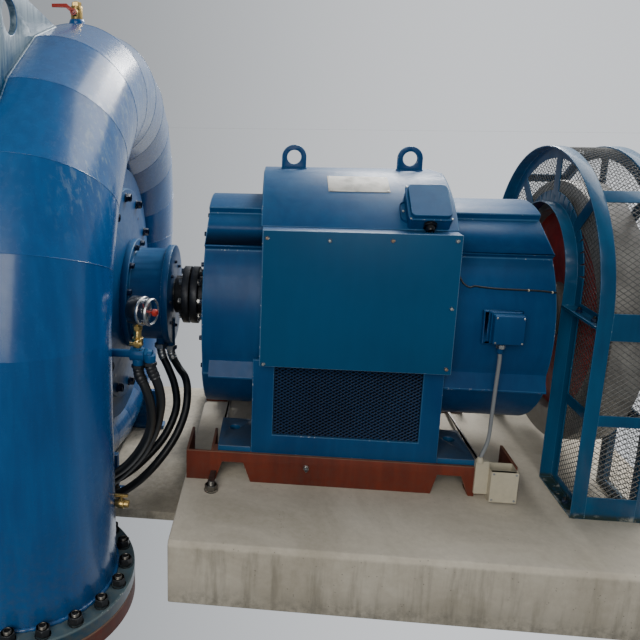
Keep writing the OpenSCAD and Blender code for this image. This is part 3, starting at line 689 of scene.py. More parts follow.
@dataclass(frozen=True)
class Concrete:
    """Cast concrete: cloudy cement, pores and water stains."""

    name: str
    pale: Colour = (0.66, 0.60, 0.49)
    dark: Colour = (0.42, 0.37, 0.285)

    def make(self) -> bpy.types.Material:
        """Mixes the concrete: broad and fine clouds, dark pores from scattered spots, runs down the sides."""
        r = Recipe(self.name)
        broad = r.noise(2.4, 6.0, 0.62, None, 0.8)
        fine = r.noise(38.0, 8.0, 0.7)
        runs = r.noise(3.0, 5.0, 0.6, r.spread((7, 7, 0.8)))
        share = r.math("ADD", r.math("MULTIPLY", r.fit(broad, 0.30, 0.68), 0.62),
                       r.math("MULTIPLY", r.fit(fine, 0.25, 0.75), 0.30))
        colour = r.mix(share, self.dark, self.pale)
        side = r.math("SUBTRACT", 1.0, r.facing_up(0.2, 0.8))
        colour = r.mix(r.math("MULTIPLY", r.math("MULTIPLY", r.fit(runs, 0.46, 0.74), side), 0.55), colour,
                       (0.185, 0.165, 0.125))
        low = r.math("MULTIPLY", r.math("SUBTRACT", 1.0, r.height(0.0, 0.11)), r.fit(fine, 0.3, 0.7))
        colour = r.mix(r.math("MULTIPLY", low, 0.6), colour, (0.10, 0.095, 0.08))
        pores = r.fit(r.cells(58.0), 0.05, 0.13)
        some = r.fit(r.noise(11.0, 3.0), 0.50, 0.60)
        pit = r.math("MULTIPLY", r.math("SUBTRACT", 1.0, pores), some)
        colour = r.mix(r.math("MULTIPLY", pit, 0.7), colour, (0.07, 0.065, 0.055))
        height = r.math("SUBTRACT",
                        r.math("ADD", r.math("MULTIPLY", broad, 1.6), r.math("MULTIPLY", fine, 0.35)),
                        r.math("MULTIPLY", pit, 0.9))
        return r.done(Base_Color=colour, Roughness=r.fit(fine, 0.2, 0.8, 0.72, 0.92),
                      Normal=r.bump(height, 0.55, 0.004),
                      Specular_IOR_Level=0.3)


@dataclass(frozen=True)
class Rubber:
    """Hydraulic hose cover: black, slightly shiny, with the faint print of its cloth wrap."""

    name: str
    colour: Colour = (0.010, 0.011, 0.012)
    rough: float = 0.30

    def make(self) -> bpy.types.Material:
        """Mixes the rubber: fine cells for the wrap, and dust where it faces up."""
        r = Recipe(self.name)
        wrap = r.noise(420.0, 2.0, 0.5)
        dust = r.math("MULTIPLY", r.facing_up(0.2, 1.0), r.fit(r.noise(30.0, 5.0), 0.4, 0.75))
        colour = r.mix(r.math("MULTIPLY", dust, 0.30), self.colour, (0.11, 0.105, 0.095))
        rough = r.math("ADD", r.fit(wrap, 0.2, 0.8, self.rough, self.rough + 0.12),
                       r.math("MULTIPLY", dust, 0.3))
        return r.done(Base_Color=colour, Roughness=rough, Normal=r.bump(wrap, 0.12, 0.0005),
                      Specular_IOR_Level=0.55)


@dataclass(frozen=True)
class Iron:
    """The flywheel: a turned iron rim and hub, and a web painted red between them."""

    name: str

    def make(self) -> bpy.types.Material:
        """Mixes the wheel: lathe rings follow the distance from the shaft, red paint fills the recessed web."""
        r = Recipe(self.name)
        split = r.node("SeparateXYZ", r.spread(shift=(0, 0, -SHAFT_Z)))
        flat = r.node("CombineXYZ", 0.0, split.outputs[1], split.outputs[2])
        away = r.node("VectorMath", flat.outputs[0], operation="LENGTH").outputs["Value"]
        rings = r.noise(1.0, 3.0, 0.7,
                        r.node("CombineXYZ", r.math("MULTIPLY", away, 900.0), 0.0, 0.0).outputs[0])
        cloud = r.noise(8.0, 7.0, 0.66, None, 0.6)
        iron = r.mix(r.fit(cloud, 0.32, 0.72), (0.17, 0.16, 0.145), (0.36, 0.345, 0.315))
        iron = r.mix(r.math("MULTIPLY", r.fit(rings, 0.35, 0.7), 0.45), iron, (0.44, 0.42, 0.385))
        red = r.mix(r.fit(r.noise(14.0, 5.0), 0.3, 0.75), (0.36, 0.016, 0.012), (0.60, 0.040, 0.028))
        web = r.math("MULTIPLY", r.radius(0.112, 0.116), r.math("SUBTRACT", 1.0, r.radius(0.426, 0.430)))
        colour = r.mix(web, iron, red)
        metallic = r.math("MULTIPLY", r.math("SUBTRACT", 1.0, web), 0.25)
        return r.done(Base_Color=colour, Metallic=metallic, Roughness=r.fit(cloud, 0.2, 0.8, 0.36, 0.58),
                      Normal=r.bump(r.math("ADD", rings, cloud), 0.10, 0.0008))


@dataclass(frozen=True)
class Glass:
    """The gauge's window."""

    name: str

    def make(self) -> bpy.types.Material:
        """Mixes a thin clear sheet: mostly see-through, with a shine that grows at its slanted parts."""
        r = Recipe(self.name)
        haze = r.fit(r.noise(60.0, 4.0), 0.3, 0.8, 0.04, 0.12)
        tint = r.mix(r.noise(20.0), (0.70, 0.74, 0.76), (0.82, 0.84, 0.84))
        edge = r.tree.nodes.new("ShaderNodeLayerWeight")
        edge.inputs[0].default_value = 0.35
        cover = r.fit(edge.outputs["Facing"], 0.1, 0.9, 0.07, 0.50)
        return r.done(Base_Color=tint, Roughness=haze, Alpha=cover, Metallic=1.0)


@dataclass(frozen=True)
class Streaked:
    """The lug's face: ground steel under thin paint, streaked down from the eye to teal at the foot."""

    name: str
    low: float = 1.62
    high: float = 2.00

    def make(self) -> bpy.types.Material:
        """Mixes the face: grey steel above blends into blue paint below, along stretched vertical streaks."""
        r = Recipe(self.name)
        streaks = r.noise(10.0, 6.0, 0.65, r.spread((6, 9, 0.5)), 0.2)
        bare = r.mix(r.fit(streaks, 0.35, 0.70), (0.045, 0.100, 0.150), (0.200, 0.270, 0.315))
        blue = r.mix(r.fit(r.noise(6.0, 4.0), 0.3, 0.7), (0.002, 0.052, 0.125), (0.004, 0.085, 0.185))
        lift = r.math("ADD", r.height(self.low, self.high), r.fit(streaks, 0.2, 0.8, -0.30, 0.30))
        colour = r.mix(r.fit(lift, 0.25, 0.75), blue, bare)
        return r.done(Base_Color=colour, Roughness=r.fit(streaks, 0.3, 0.7, 0.30, 0.48), Metallic=0.15,
                      Normal=r.bump(streaks, 0.25, 0.001))


class Finish:
    """Every finish of the object, mixed once."""

    def __init__(self) -> None:
        """Mixes all the materials."""
        casing = Paint("casing_blue_enamel", (0.0, 0.094, 0.290), (0.0, 0.060, 0.205), dust=0.05, rough=0.24,
                       lap=0.7, coat=0.30, dust_and_sheen=(0.12, 0.26, 0.42), scuffs_and_glint=0.5, shine=0.40)
        body = Paint("generator_blue_enamel", (0.0, 0.070, 0.200), (0.0, 0.043, 0.145), dust=0.22,
                     rough=0.40,
                     coat=0.02, dust_and_sheen=(0.10, 0.24, 0.38), shine=0.22)
        # The panel's light blue dust-and-sheen colour also paints the bright highlight along its edges.
        panel = Paint("panel_blue_enamel", (0.0, 0.078, 0.190), (0.0, 0.062, 0.155), dust=0.2, rough=0.40,
                      lap=0.3,
                      coat=0.0, dust_and_sheen=(0.32, 0.48, 0.62), shine=0.22)
        guard = Paint("guard_blue_enamel", (0.0, 0.088, 0.205), (0.0, 0.044, 0.115), dust=0.22, rough=0.38,
                      chips=0.55,
                      dust_and_sheen=(0.10, 0.24, 0.38), under=(0.30, 0.42, 0.46), grime=0.3, mud_top=0.2535,
                      shine=0.26)
        foot = Paint("foot_plate_enamel", (0.0, 0.085, 0.220), (0.0, 0.055, 0.150), dust=0.9, rough=0.42,
                     chips=0.8,
                     dust_and_sheen=(0.055, 0.075, 0.110), under=(0.20, 0.22, 0.24), grime=0.3)
        flange = Paint("flange_blue_enamel", (0.002, 0.072, 0.130), (0.001, 0.030, 0.060), dust=0.45,
                       rough=0.40,
                       chips=1.3, dust_and_sheen=(0.15, 0.20, 0.20), under=(0.36, 0.38, 0.36), grime=0.8)
        oxide = Paint("red_oxide_primer", (0.200, 0.030, 0.011), (0.085, 0.015, 0.008), dust=0.45,
                      rough=0.62, coat=0.0,
                      dust_and_sheen=(0.26, 0.18, 0.12), under=(0.05, 0.035, 0.028), chips=0.8, grime=0.4)
        cream = Paint("cream_plastic", (0.62, 0.57, 0.44), (0.52, 0.47, 0.35), dust=0.2, rough=0.42, lap=0.2,
                      coat=0.0,
                      dust_and_sheen=(0.55, 0.52, 0.42), grime=0.25)
        red = Paint("lever_red_enamel", (0.48, 0.035, 0.018), (0.30, 0.018, 0.012), dust=0.2, rough=0.35)
        self.casing, self.casing_edge = casing.make(), casing.make(True)
        self.body, self.body_edge = body.make(), body.make(True)
        self.panel, self.panel_edge = panel.make(), panel.make(True)
        self.guard, self.guard_edge = guard.make(), guard.make(True)
        self.flange, self.flange_edge = flange.make(), flange.make(True)
        self.oxide, self.oxide_edge = oxide.make(), oxide.make(True)
        self.foot, self.foot_edge = foot.make(), foot.make(True)
        self.cream, self.red = cream.make(), red.make()
        self.concrete = Concrete("cast_concrete").make()
        self.iron = Iron("turned_iron").make()
        self.steel = Metal("bright_steel", (0.62, 0.61, 0.58), (0.36, 0.33, 0.29), 0.30,
                           grain=(0.06, 1, 1)).make()
        self.zinc = Metal("zinc_plate", (0.56, 0.56, 0.53), (0.34, 0.33, 0.29), 0.38).make()
        self.dark_steel = Metal("dark_steel", (0.050, 0.052, 0.056), (0.020, 0.020, 0.022), 0.42, 0.75,
                                rust=0.42).make()
        self.thread = Metal("thread_steel", (0.20, 0.19, 0.17), (0.08, 0.07, 0.06), 0.40, 0.9,
                            rust=0.5).make()
        self.rusty = Metal("rusty_screw", (0.40, 0.30, 0.22), (0.25, 0.12, 0.06), 0.5, 0.8, rust=0.9).make()
        self.brass = Metal("brass", (0.62, 0.43, 0.15), (0.32, 0.22, 0.09), 0.28, stain=0.6).make()
        self.plate = Metal("nameplate_metal", (0.24, 0.235, 0.21), (0.16, 0.16, 0.145), 0.48, 0.45,
                           (0.1, 1, 1)).make()
        self.wire = Metal("mesh_wire", (0.17, 0.17, 0.165), (0.07, 0.075, 0.075), 0.50, 0.5).make()
        self.air_wire = Paint("air_mesh_enamel", (0.001, 0.034, 0.105), (0.001, 0.018, 0.060), dust=0.0,
                              rough=0.45, lap=0.3, coat=0.0,
                              dust_and_sheen=(0.10, 0.18, 0.28), shine=0.25).make()
        self.shade = Paint("inner_shade", (0.003, 0.004, 0.006), (0.001, 0.002, 0.003), dust=0.0, rough=0.85,
                           lap=0.2, coat=0.0,
                           shine=0.1).make()
        self.black = Paint("black_enamel", (0.008, 0.009, 0.011), (0.004, 0.004, 0.005), dust=0.1,
                           rough=0.30, lap=0.3,
                           dust_and_sheen=(0.06, 0.06, 0.06)).make()
        self.lug = Streaked("lug_brushed_paint").make()
        self.navy = Paint("bolt_navy_enamel", (0.004, 0.020, 0.070), (0.002, 0.009, 0.035), dust=0.3,
                          rough=0.36, lap=0.3,
                          dust_and_sheen=(0.16, 0.24, 0.36)).make()
        self.dial = Paint("dial_enamel", (0.36, 0.37, 0.38), (0.26, 0.27, 0.28), dust=0.0, rough=0.5,
                          lap=0.1, coat=0.0).make()
        self.conduit = Paint("conduit_grey", (0.30, 0.32, 0.33), (0.20, 0.21, 0.22), dust=0.3, rough=0.5,
                             lap=0.2, coat=0.0).make()
        self.floor = Paint("studio_floor", (0.80, 0.79, 0.77), (0.77, 0.76, 0.74), dust=0.0, rough=0.7,
                           lap=0.1, coat=0.0,
                           grime=0.0).make()
        self.hose = Rubber("hose_rubber").make()
        self.glass = Glass("gauge_glass").make()


# Camera and light.


@dataclass(frozen=True)
class View:
    """The photograph's camera, worked out from the plinth, the flange and the generator's edges."""

    place: Point = (-0.292, -2.830, 1.660)
    yaw: float = 5.82
    pitch: float = 12.34
    roll: float = -0.58
    focal_px: float = 645.0
    centre_px: tuple[float, float] = (211.0, 262.0)
    side_px: float = 640.0

    def make(self) -> bpy.types.Object:
        """Makes the scene's camera: it looks left of +Y by the yaw and down by the pitch."""
        y, p, r = (math.radians(v) for v in (self.yaw, self.pitch, self.roll))
        ahead = np.array([-math.sin(y) * math.cos(p), math.cos(y) * math.cos(p), -math.sin(p)])
        right = np.array([math.cos(y), math.sin(y), 0.0])
        down = np.cross(ahead, right)
        x = math.cos(r) * right + math.sin(r) * down
        z = -ahead
        data = bpy.data.cameras.new("camera")
        data.sensor_width = 36.0
        data.lens = self.focal_px / self.side_px * 36.0
        data.shift_x = (self.side_px / 2 - self.centre_px[0]) / self.side_px
        data.shift_y = (self.centre_px[1] - self.side_px / 2) / self.side_px
        data.clip_end = 200.0
        camera = bpy.data.objects.new("camera", data)
        bpy.context.scene.collection.objects.link(camera)
        turn = np.eye(4)
        turn[:3, 0], turn[:3, 1], turn[:3, 2], turn[:3, 3] = x, np.cross(z, x), z, self.place
        camera.matrix_world = Matrix(turn.tolist())
        bpy.context.scene.camera = camera
        return camera


@dataclass(frozen=True)
class Lamp:
    """One soft square light that looks at a point."""

    name: str
    place: Point
    target: Point
    size: float
    power: float
    colour: Colour = (1, 1, 1)

    def make(self) -> None:
        """Makes the light."""
        data = bpy.data.lights.new(self.name, "AREA")
        data.shape, data.size, data.energy, data.color = "SQUARE", self.size, self.power, self.colour
        lamp = bpy.data.objects.new(self.name, data)
        bpy.context.scene.collection.objects.link(lamp)
        toward = np.asarray(self.place, float) - np.asarray(self.target, float)
        turn = np.eye(4)
        turn[:3, :3], turn[:3, 3] = aim(tuple(toward)), self.place
        lamp.matrix_world = Matrix(turn.tolist())


@dataclass
class Studio:
    """The pale floor, the soft lights, and a surround that is bright behind the object and dim before it."""

    lamps: tuple[Lamp, ...] = (
        Lamp("sky_panel", (2.0, 1.2, 4.8), (0.0, 0.0, 0.6), 3.2, 150.0),
        Lamp("window_panel", (1.3, 4.3, 4.7), (-0.7, 0.0, 1.3), 1.6, 330.0),
        Lamp("front_panel", (-1.4, -5.8, 3.2), (-0.3, 0.0, 0.8), 3.6, 190.0, (1.0, 0.97, 0.92)),
    )
    bright: Colour = (0.93, 0.96, 1.0)
    dim: Colour = (0.20, 0.22, 0.24)
    strength: float = 0.95
    reach: float = 150.0

    def surround(self) -> None:
        """Makes the world: its light grows from dim to bright towards +Y, and from -X to +X."""
        world = bpy.data.worlds.new("studio")
        world.use_nodes = True
        tree = world.node_tree
        back = tree.nodes["Background"]
        split = tree.nodes.new("ShaderNodeSeparateXYZ")
        tree.links.new(tree.nodes.new("ShaderNodeTexCoord").outputs["Generated"], split.inputs[0])
        ramp = tree.nodes.new("ShaderNodeMapRange")
        ramp.interpolation_type = "SMOOTHSTEP"
        ramp.inputs[1].default_value, ramp.inputs[2].default_value = -0.45, 0.75
        tree.links.new(split.outputs[1], ramp.inputs[0])
        side = tree.nodes.new("ShaderNodeMapRange")
        side.interpolation_type = "SMOOTHSTEP"
        for at, value in ((1, -0.45), (2, 0.35), (3, 0.22), (4, 1.0)):
            side.inputs[at].default_value = value
        tree.links.new(split.outputs[0], side.inputs[0])
        share = tree.nodes.new("ShaderNodeMath")
        share.operation = "MULTIPLY"
        tree.links.new(ramp.outputs[0], share.inputs[0])
        tree.links.new(side.outputs[0], share.inputs[1])
        blend = tree.nodes.new("ShaderNodeMix")
        blend.data_type = "RGBA"
        tree.links.new(share.outputs[0], blend.inputs[0])
        blend.inputs[6].default_value, blend.inputs[7].default_value = (*self.dim, 1.0), (*self.bright, 1.0)
        tree.links.new(blend.outputs[2], back.inputs[0])
        back.inputs[1].default_value = self.strength
        bpy.context.scene.world = world

    def build(self, finish: Finish) -> None:
        """Lays the floor at z = 0 and sets the lights and the surround."""
        shell = block((-self.reach, -self.reach, -0.02), (self.reach, self.reach, -0.0005))
        floor = bpy.data.objects.new("studio_floor", to_mesh("studio_floor", shell))
        bpy.context.scene.collection.objects.link(floor)
        floor.data.materials.append(finish.floor)
        self.surround()
        for lamp in self.lamps:
            lamp.make()


# Hoses and conduit.


def spline(points: np.ndarray, steps: int) -> np.ndarray:
    """The smooth curve through the points: a cubic between two, its slopes half their neighbours' chord."""
    p = np.asarray(points, float)
    padded = np.vstack([p[:1], p, p[-1:]])
    t = (np.arange(steps) / steps)[None, :, None]
    a, b, c, d = (padded[i:len(p) - 1 + i, None] for i in range(4))
    curve = 0.5 * (2 * b + (c - a) * t + (2 * a - 5 * b + 4 * c - d) * t ** 2 +
                   (3 * b - a - 3 * c + d) * t ** 3)
    return np.vstack([curve.reshape(-1, 3), p[-1:]])


@dataclass(frozen=True)
class Hose:
    """One bent line that leaves the object and goes back into it."""

    name: str
    node: str
    route_mm: tuple[Point, ...]
    radius: float
    slot: str
    stiffness: str = "stiff"

    def build(self, finish: bpy.types.Material, fitting: bpy.types.Material) -> None:
        """Args:
            finish: the line's material.
            fitting: the sleeves' material.
        """
        path = spline(np.array(self.route_mm) * MM, 8)
        piece = make(tube(path, self.radius, 20), self.name, [finish], Body.PLANT, self.slot,
                     replaces=(self.node,))
        if self.radius > 0.01:
            for end, side in ((path[:40], "top"), (path[::-1][:40], "low")):
                reach = np.linalg.norm(end - end[0], axis=1)
                along = np.linspace(0, 0.052, 14)
                line = np.stack([np.interp(along, reach, end[:, k]) for k in range(3)], -1)
                swell = np.where(np.arange(14) % 4 == 3, 1.07, 1.17)
                swell[[0, -1]] = 1.03
                make(tube(line, self.radius * swell, 20), f"{self.name}_sleeve_{side}",
                                    [fitting],
                                    Body.PLANT, "fitting_steel")


@dataclass
class Lines:
    """The four oil hoses and the sensor's conduit."""

    front_a: Hose = Hose("front_hose_a", "front_hoses", (
        (-755, -748, 815), (-751, -751, 792), (-729, -756, 746), (-713, -752, 685), (-715, -728, 612),
        (-733, -692, 540), (-766, -652, 465), (-813, -608, 385), (-873, -560, 307), (-953, -512, 233),
        (-1030, -480, 186), (-1065, -440, 180)), 0.017, "hose_rubber")
    front_b: Hose = Hose("front_hose_b", "front_hoses", (
        (-713, -750, 828), (-705, -748, 803), (-686, -742, 750), (-681, -722, 684), (-692, -692, 619),
        (-710, -656, 549), (-740, -616, 474), (-780, -576, 395), (-831, -540, 320), (-895, -508, 244),
        (-964, -484, 174), (-1032, -468, 116), (-1065, -440, 105)), 0.017, "hose_rubber")
    rear_c: Hose = Hose("rear_hose_c", "rear_hoses", (
        (-797, -85, 650), (-788, -95, 618), (-756, -125, 570), (-722, -170, 515), (-702, -225, 455),
        (-710, -268, 400), (-745, -305, 328), (-800, -336, 262), (-868, -362, 200), (-945, -382, 152),
        (-1011, -388, 135)), 0.017, "hose_rubber")
    rear_d: Hose = Hose("rear_hose_d", "rear_hoses", (
        (-757, -50, 632), (-748, -60, 602), (-712, -102, 565), (-672, -170, 545), (-655, -225, 500),
        (-660, -275, 425), (-695, -330, 338), (-760, -372, 246), (-838, -394, 164), (-925, -398, 102),
        (-1011, -388, 88)), 0.017, "hose_rubber")
    conduit: Hose = Hose("sensor_conduit_line", "sensor_conduit", (
        (543, -477, 831), (545, -477, 805), (543, -475, 719), (540, -475, 594), (536, -477, 487),
        (514, -486, 420), (510, -488, 396)), 0.007, "conduit_grey", "medium")

    def build(self, finish: Finish) -> None:
        """Makes every line."""
        for hose in (self.front_a, self.front_b):
            hose.build(finish.hose, finish.dark_steel)
        for hose in (self.rear_c, self.rear_d):
            hose.build(finish.hose, finish.zinc)
        self.conduit.build(finish.conduit, finish.zinc)


# Turbine.


@dataclass
class Casing:
    """The mitred scroll, its inlet pipe and flanges, the covers, the draft elbow and the lug."""

    tail: float = 0.060
    pipe: float = 0.300
    wall: float = 0.012
    inner: float = 0.595
    turn: float = 318.0
    first_seam: float = 5.0
    segment_turn: float = 15.0
    sides: int = 96
    flange_bolts: int = 20
    flange_bolt_r: float = 0.333
    flange_top: float = 0.105

    def full(self, a: np.ndarray) -> np.ndarray:
        """The outer radius of the scroll's circle at turn a, in radians."""
        share = (np.degrees(a) / self.turn) ** 1.1
        return self.tail + (self.pipe - self.tail) * np.cos(np.pi / 2 * share)

    def rings(self, shrink: float = 0.0, sides: int = 96) -> np.ndarray:
        """The circles where the segments meet.

        At turn a the circle's radius falls from the pipe's to the tail's as the cosine of a quarter turn times
        the share of the run to the power 1.1, and its inner side keeps a fixed distance from the shaft.

        Args:
            shrink: taken off the radius, for the inner wall.
            sides: points round each circle.

        Returns:
            (turns, sides, 3) points.
        """
        middle = np.arange(self.first_seam, self.turn - 3, self.segment_turn)
        a = np.radians(np.concatenate([[0.0], middle, [self.turn]]))
        full = self.full(a)
        t = np.arange(sides) * 2 * np.pi / sides
        r = (full - shrink)[:, None]
        reach = (self.inner + full)[:, None] + r * np.cos(t)
        return np.stack([CASING_X + r * np.sin(t), -reach * np.cos(a)[:, None],
                         SHAFT_Z + reach * np.sin(a)[:, None]], -1)

    def scroll(self, finish: Finish) -> None:
        """Makes the scroll: an outer and an inner wall, joined at the pipe, closed at the tail, with mitres."""
        outer = self.rings(0.0, self.sides)
        inner = self.rings(self.wall, self.sides)[:-1]
        grid = np.concatenate([inner[::-1], outer])
        shell = lattice(grid, cap=True)
        mesh = to_mesh("scroll_shell", shell)
        piece = dress(mesh, "scroll_shell", [finish.casing], Body.PLANT, "casing_blue", ("spiral_casing",),
                      smooth=50)
        ends = np.zeros(len(mesh.edges) * 2, np.int32)
        mesh.edges.foreach_get("vertices", ends)
        ring = ends.reshape(-1, 2) // self.sides
        if "sharp_edge" not in mesh.attributes:
            mesh.attributes.new("sharp_edge", "BOOLEAN", "EDGE")
        mesh.attributes["sharp_edge"].data.foreach_set("value", ring[:, 0] == ring[:, 1])
        piece.data.update()

    def seams(self, finish: Finish) -> None:
        """Lays a thin weld bead on every mitre and a broad one at the foot of the pipe."""
        rings = self.rings(0.0004, 220)
        beads = [weld(ring, 0.0013, seed=i) for i, ring in enumerate(rings[2:-1])]
        foot = circle((CASING_X, INLET_Y, self.flange_top + 0.003), self.pipe + 0.003, 200, "z")
        beads.append(weld(foot, 0.007, reference=(0.01, 0.02, 1)))
        make(joined(beads), "casing_welds", [finish.casing], Body.PLANT, "casing_blue", smooth=60)

    def flange(self, node: str, low: float, high: float, finishes: list[bpy.types.Material],
               slot: str) -> None:
        """Makes one inlet flange: a turned ring whose rim is a separate band; the bolts cover its holes."""
        r0, r1, cut = self.pipe - self.wall, 0.365, 0.0025
        body = turned(np.array([[r0, low], [r1 - cut, low], [r1, low + cut], [r1, high - cut],
                                [r1 - cut, high], [r0, high]]),
                      160, closed=True)
        rim = turned(np.array([[r1 - 0.006, high + 0.0002], [r1 - 0.0022, high + 0.0002],
                               [r1 + 0.0002, high - 0.0022],
                               [r1 + 0.0002, high - 0.006], [r1 - 0.006, high - 0.006]]), 160,
                     closed=True).painted(1)
        shell = joined([body, rim]).moved(np.eye(3), (CASING_X, INLET_Y, 0))
        make(shell, node + "_ring", finishes, Body.PLANT, slot, replaces=(node,), smooth=25)

    def lug_weld(self) -> Shell:
        """Weld beads along both sides of the lug's foot, where its plane meets the scroll."""
        a = np.radians(np.linspace(38.5, 76.5, 150))
        full = self.full(a)
        beads = []
        for x, off in ((-1.1690, 0.049), (-1.1960, 0.076)):
            reach = self.inner + full + np.sqrt(full ** 2 - off ** 2)
            corner = (np.degrees(a) - self.first_seam) % self.segment_turn - self.segment_turn / 2
            reach = reach * math.cos(math.radians(self.segment_turn / 2)) / np.cos(np.radians(corner))
            path = np.stack([np.full(len(a), x), -reach * np.cos(a), SHAFT_Z + reach * np.sin(a)], -1)
            beads.append(weld(path, 0.0055, False, (1, 0.01, 0), seed=int(off * 1000)))
        return joined(beads)

    def covers(self, finish: Finish) -> None:
        """Dresses the flat and turned parts, and sets their bolts."""
        blue, edge = finish.casing, finish.casing_edge
        redress("inlet_pipe", [blue], "casing_blue", width=0, smooth=40)
        self.flange("inlet_flange", 0.0602, self.flange_top, [finish.flange, finish.flange_edge],
                    "casing_blue")
        self.flange("mating_flange", 0.0002, 0.0600, [finish.oxide, finish.oxide_edge], "red_oxide")
        redress("stay_ring", [blue], "casing_blue", width=0.002)
        redress("head_cover", [finish.body, finish.body_edge], "casing_blue", width=0.003, edge_slot=1)
        redress("rear_cover", [finish.body, finish.body_edge], "casing_blue", width=0.003, edge_slot=1)
        redress("draft_elbow", [blue], "casing_blue", width=0.002, smooth=40)
        redress("casing_feet", [blue, edge], "casing_blue", width=0.002, edge_slot=1)
        redress("lifting_lug", [finish.lug, edge], "casing_blue", width=0.0025, edge_slot=1)
        make(self.lug_weld(), "lug_weld", [finish.lug], Body.PLANT, "casing_blue", smooth=60)
        studs = Fastener(0.041, 0.025, 0.004, 0.013, 0.007).shell()
        places = ring_places((CASING_X, INLET_Y, self.flange_top), self.flange_bolt_r, self.flange_bolts,
                             "z", 9.0)
        make(planted(studs, places, (0, 0, 1)), "flange_studs", [finish.dark_steel, finish.thread],
             Body.PLANT, "fitting_steel")
        heads = Fastener(0.034, 0.021, 0.005).shell()
        front = planted(heads, ring_places((-0.968, 0, SHAFT_Z), 0.437, 12, "x", 0.0), (1, 0, 0))
        back = planted(heads, ring_places((-1.272, 0, SHAFT_Z), 0.437, 12, "x", 0.0), (-1, 0, 0))
        jacks = planted(disc(0.007, -0.001, 0.0012), ring_places((-0.968, 0, SHAFT_Z), 0.397, 6, "x", 70.0),
                        (1, 0, 0))
        make(joined([front, back, jacks]), "cover_bolts", [finish.navy], Body.PLANT, "casing_blue")

    def draft(self, finish: Finish) -> None:
        """Sets the elbow's gussets of bolts, its welds and the anchors of the feet."""
        bolts = planted(Fastener(0.030, 0.018, 0.003, 0.010, 0.012).shell(),
                        ring_places((-1.712, 0, 0.065), 0.285, 16, "z", 11.25), (0, 0, 1))
        flange = planted(Fastener(0.024, 0.015, 0.003).shell(),
                         ring_places((-1.297, 0, SHAFT_Z), 0.268, 16, "x", 11.25), (-1, 0, 0))
        feet = planted(Fastener(0.030, 0.018, 0.003, 0.010, 0.016).shell(),
                       [(x, y, 0.060) for x in (-1.285, -0.955) for y in (-0.322,)] +
                       [(x, y, 0.060) for x in (-1.345, -0.895) for y in (0.330,)], (0, 0, 1))
        make(joined([bolts, flange, feet]), "draft_bolts", [finish.dark_steel, finish.thread], Body.PLANT,
             "fitting_steel")
        welds = []
        for step in range(1, 6):
            t = math.radians(90.0 * step / 6)
            centre = np.array([-1.332 - 0.380 * math.sin(t), 0, 0.503 + 0.380 * math.cos(t)])
            out = np.array([-math.sin(t), 0, math.cos(t)])
            s = np.arange(160) * 2 * np.pi / 160
            ring = centre + 0.235 * (np.cos(s)[:, None] * out + np.sin(s)[:, None] * np.array([0, 1.0, 0]))
            welds.append(weld(ring, 0.0030, reference=(0.02, 1, 0.01), seed=step))
        make(joined(welds), "elbow_welds", [finish.casing], Body.PLANT, "casing_blue", smooth=60)

    def build(self, finish: Finish) -> None:
        """Makes the whole turbine body."""
        self.scroll(finish)
        self.seams(finish)
        self.covers(finish)
        self.draft(finish)


@dataclass
class BleedValve:
    """The vent valve on top of the casing, with its red lever."""

    x: float = -1.134
    y: float = -0.100
    z: float = 2.084

    def build(self, finish: Finish) -> None:
        """Dresses the valve body in brass with hexagon ends, and its lever in red."""
        redress("bleed_valve", [finish.brass], "brass_fittings", width=0.0015, smooth=30)
        levels = (self.z - 0.024, self.z + 0.026)
        hexes = joined([hex_nut(0.036, 0.018).moved(np.eye(3), (self.x, self.y, z)) for z in levels])
        boss = turned(np.array([[0.032, -0.1], [0.032, -0.034], [0.028, -0.024], [0.014, -0.024]]), 32)
        make(hexes, "bleed_valve_hexes", [finish.brass], Body.PLANT, "brass_fittings")
        make(boss.moved(np.eye(3), (self.x, self.y, self.z)), "bleed_boss", [finish.casing], Body.PLANT,
             "casing_blue")
        redress("bleed_lever", [finish.red], "lever_red", Body.LEVER, width=0.001)
        nut = hex_nut(0.013, 0.006).moved(aim((0, -1, 0)), (self.x, self.y - 0.049, self.z))
        make(nut, "bleed_lever_nut", [finish.zinc], Body.LEVER, "lever_red")


# Gauge group.


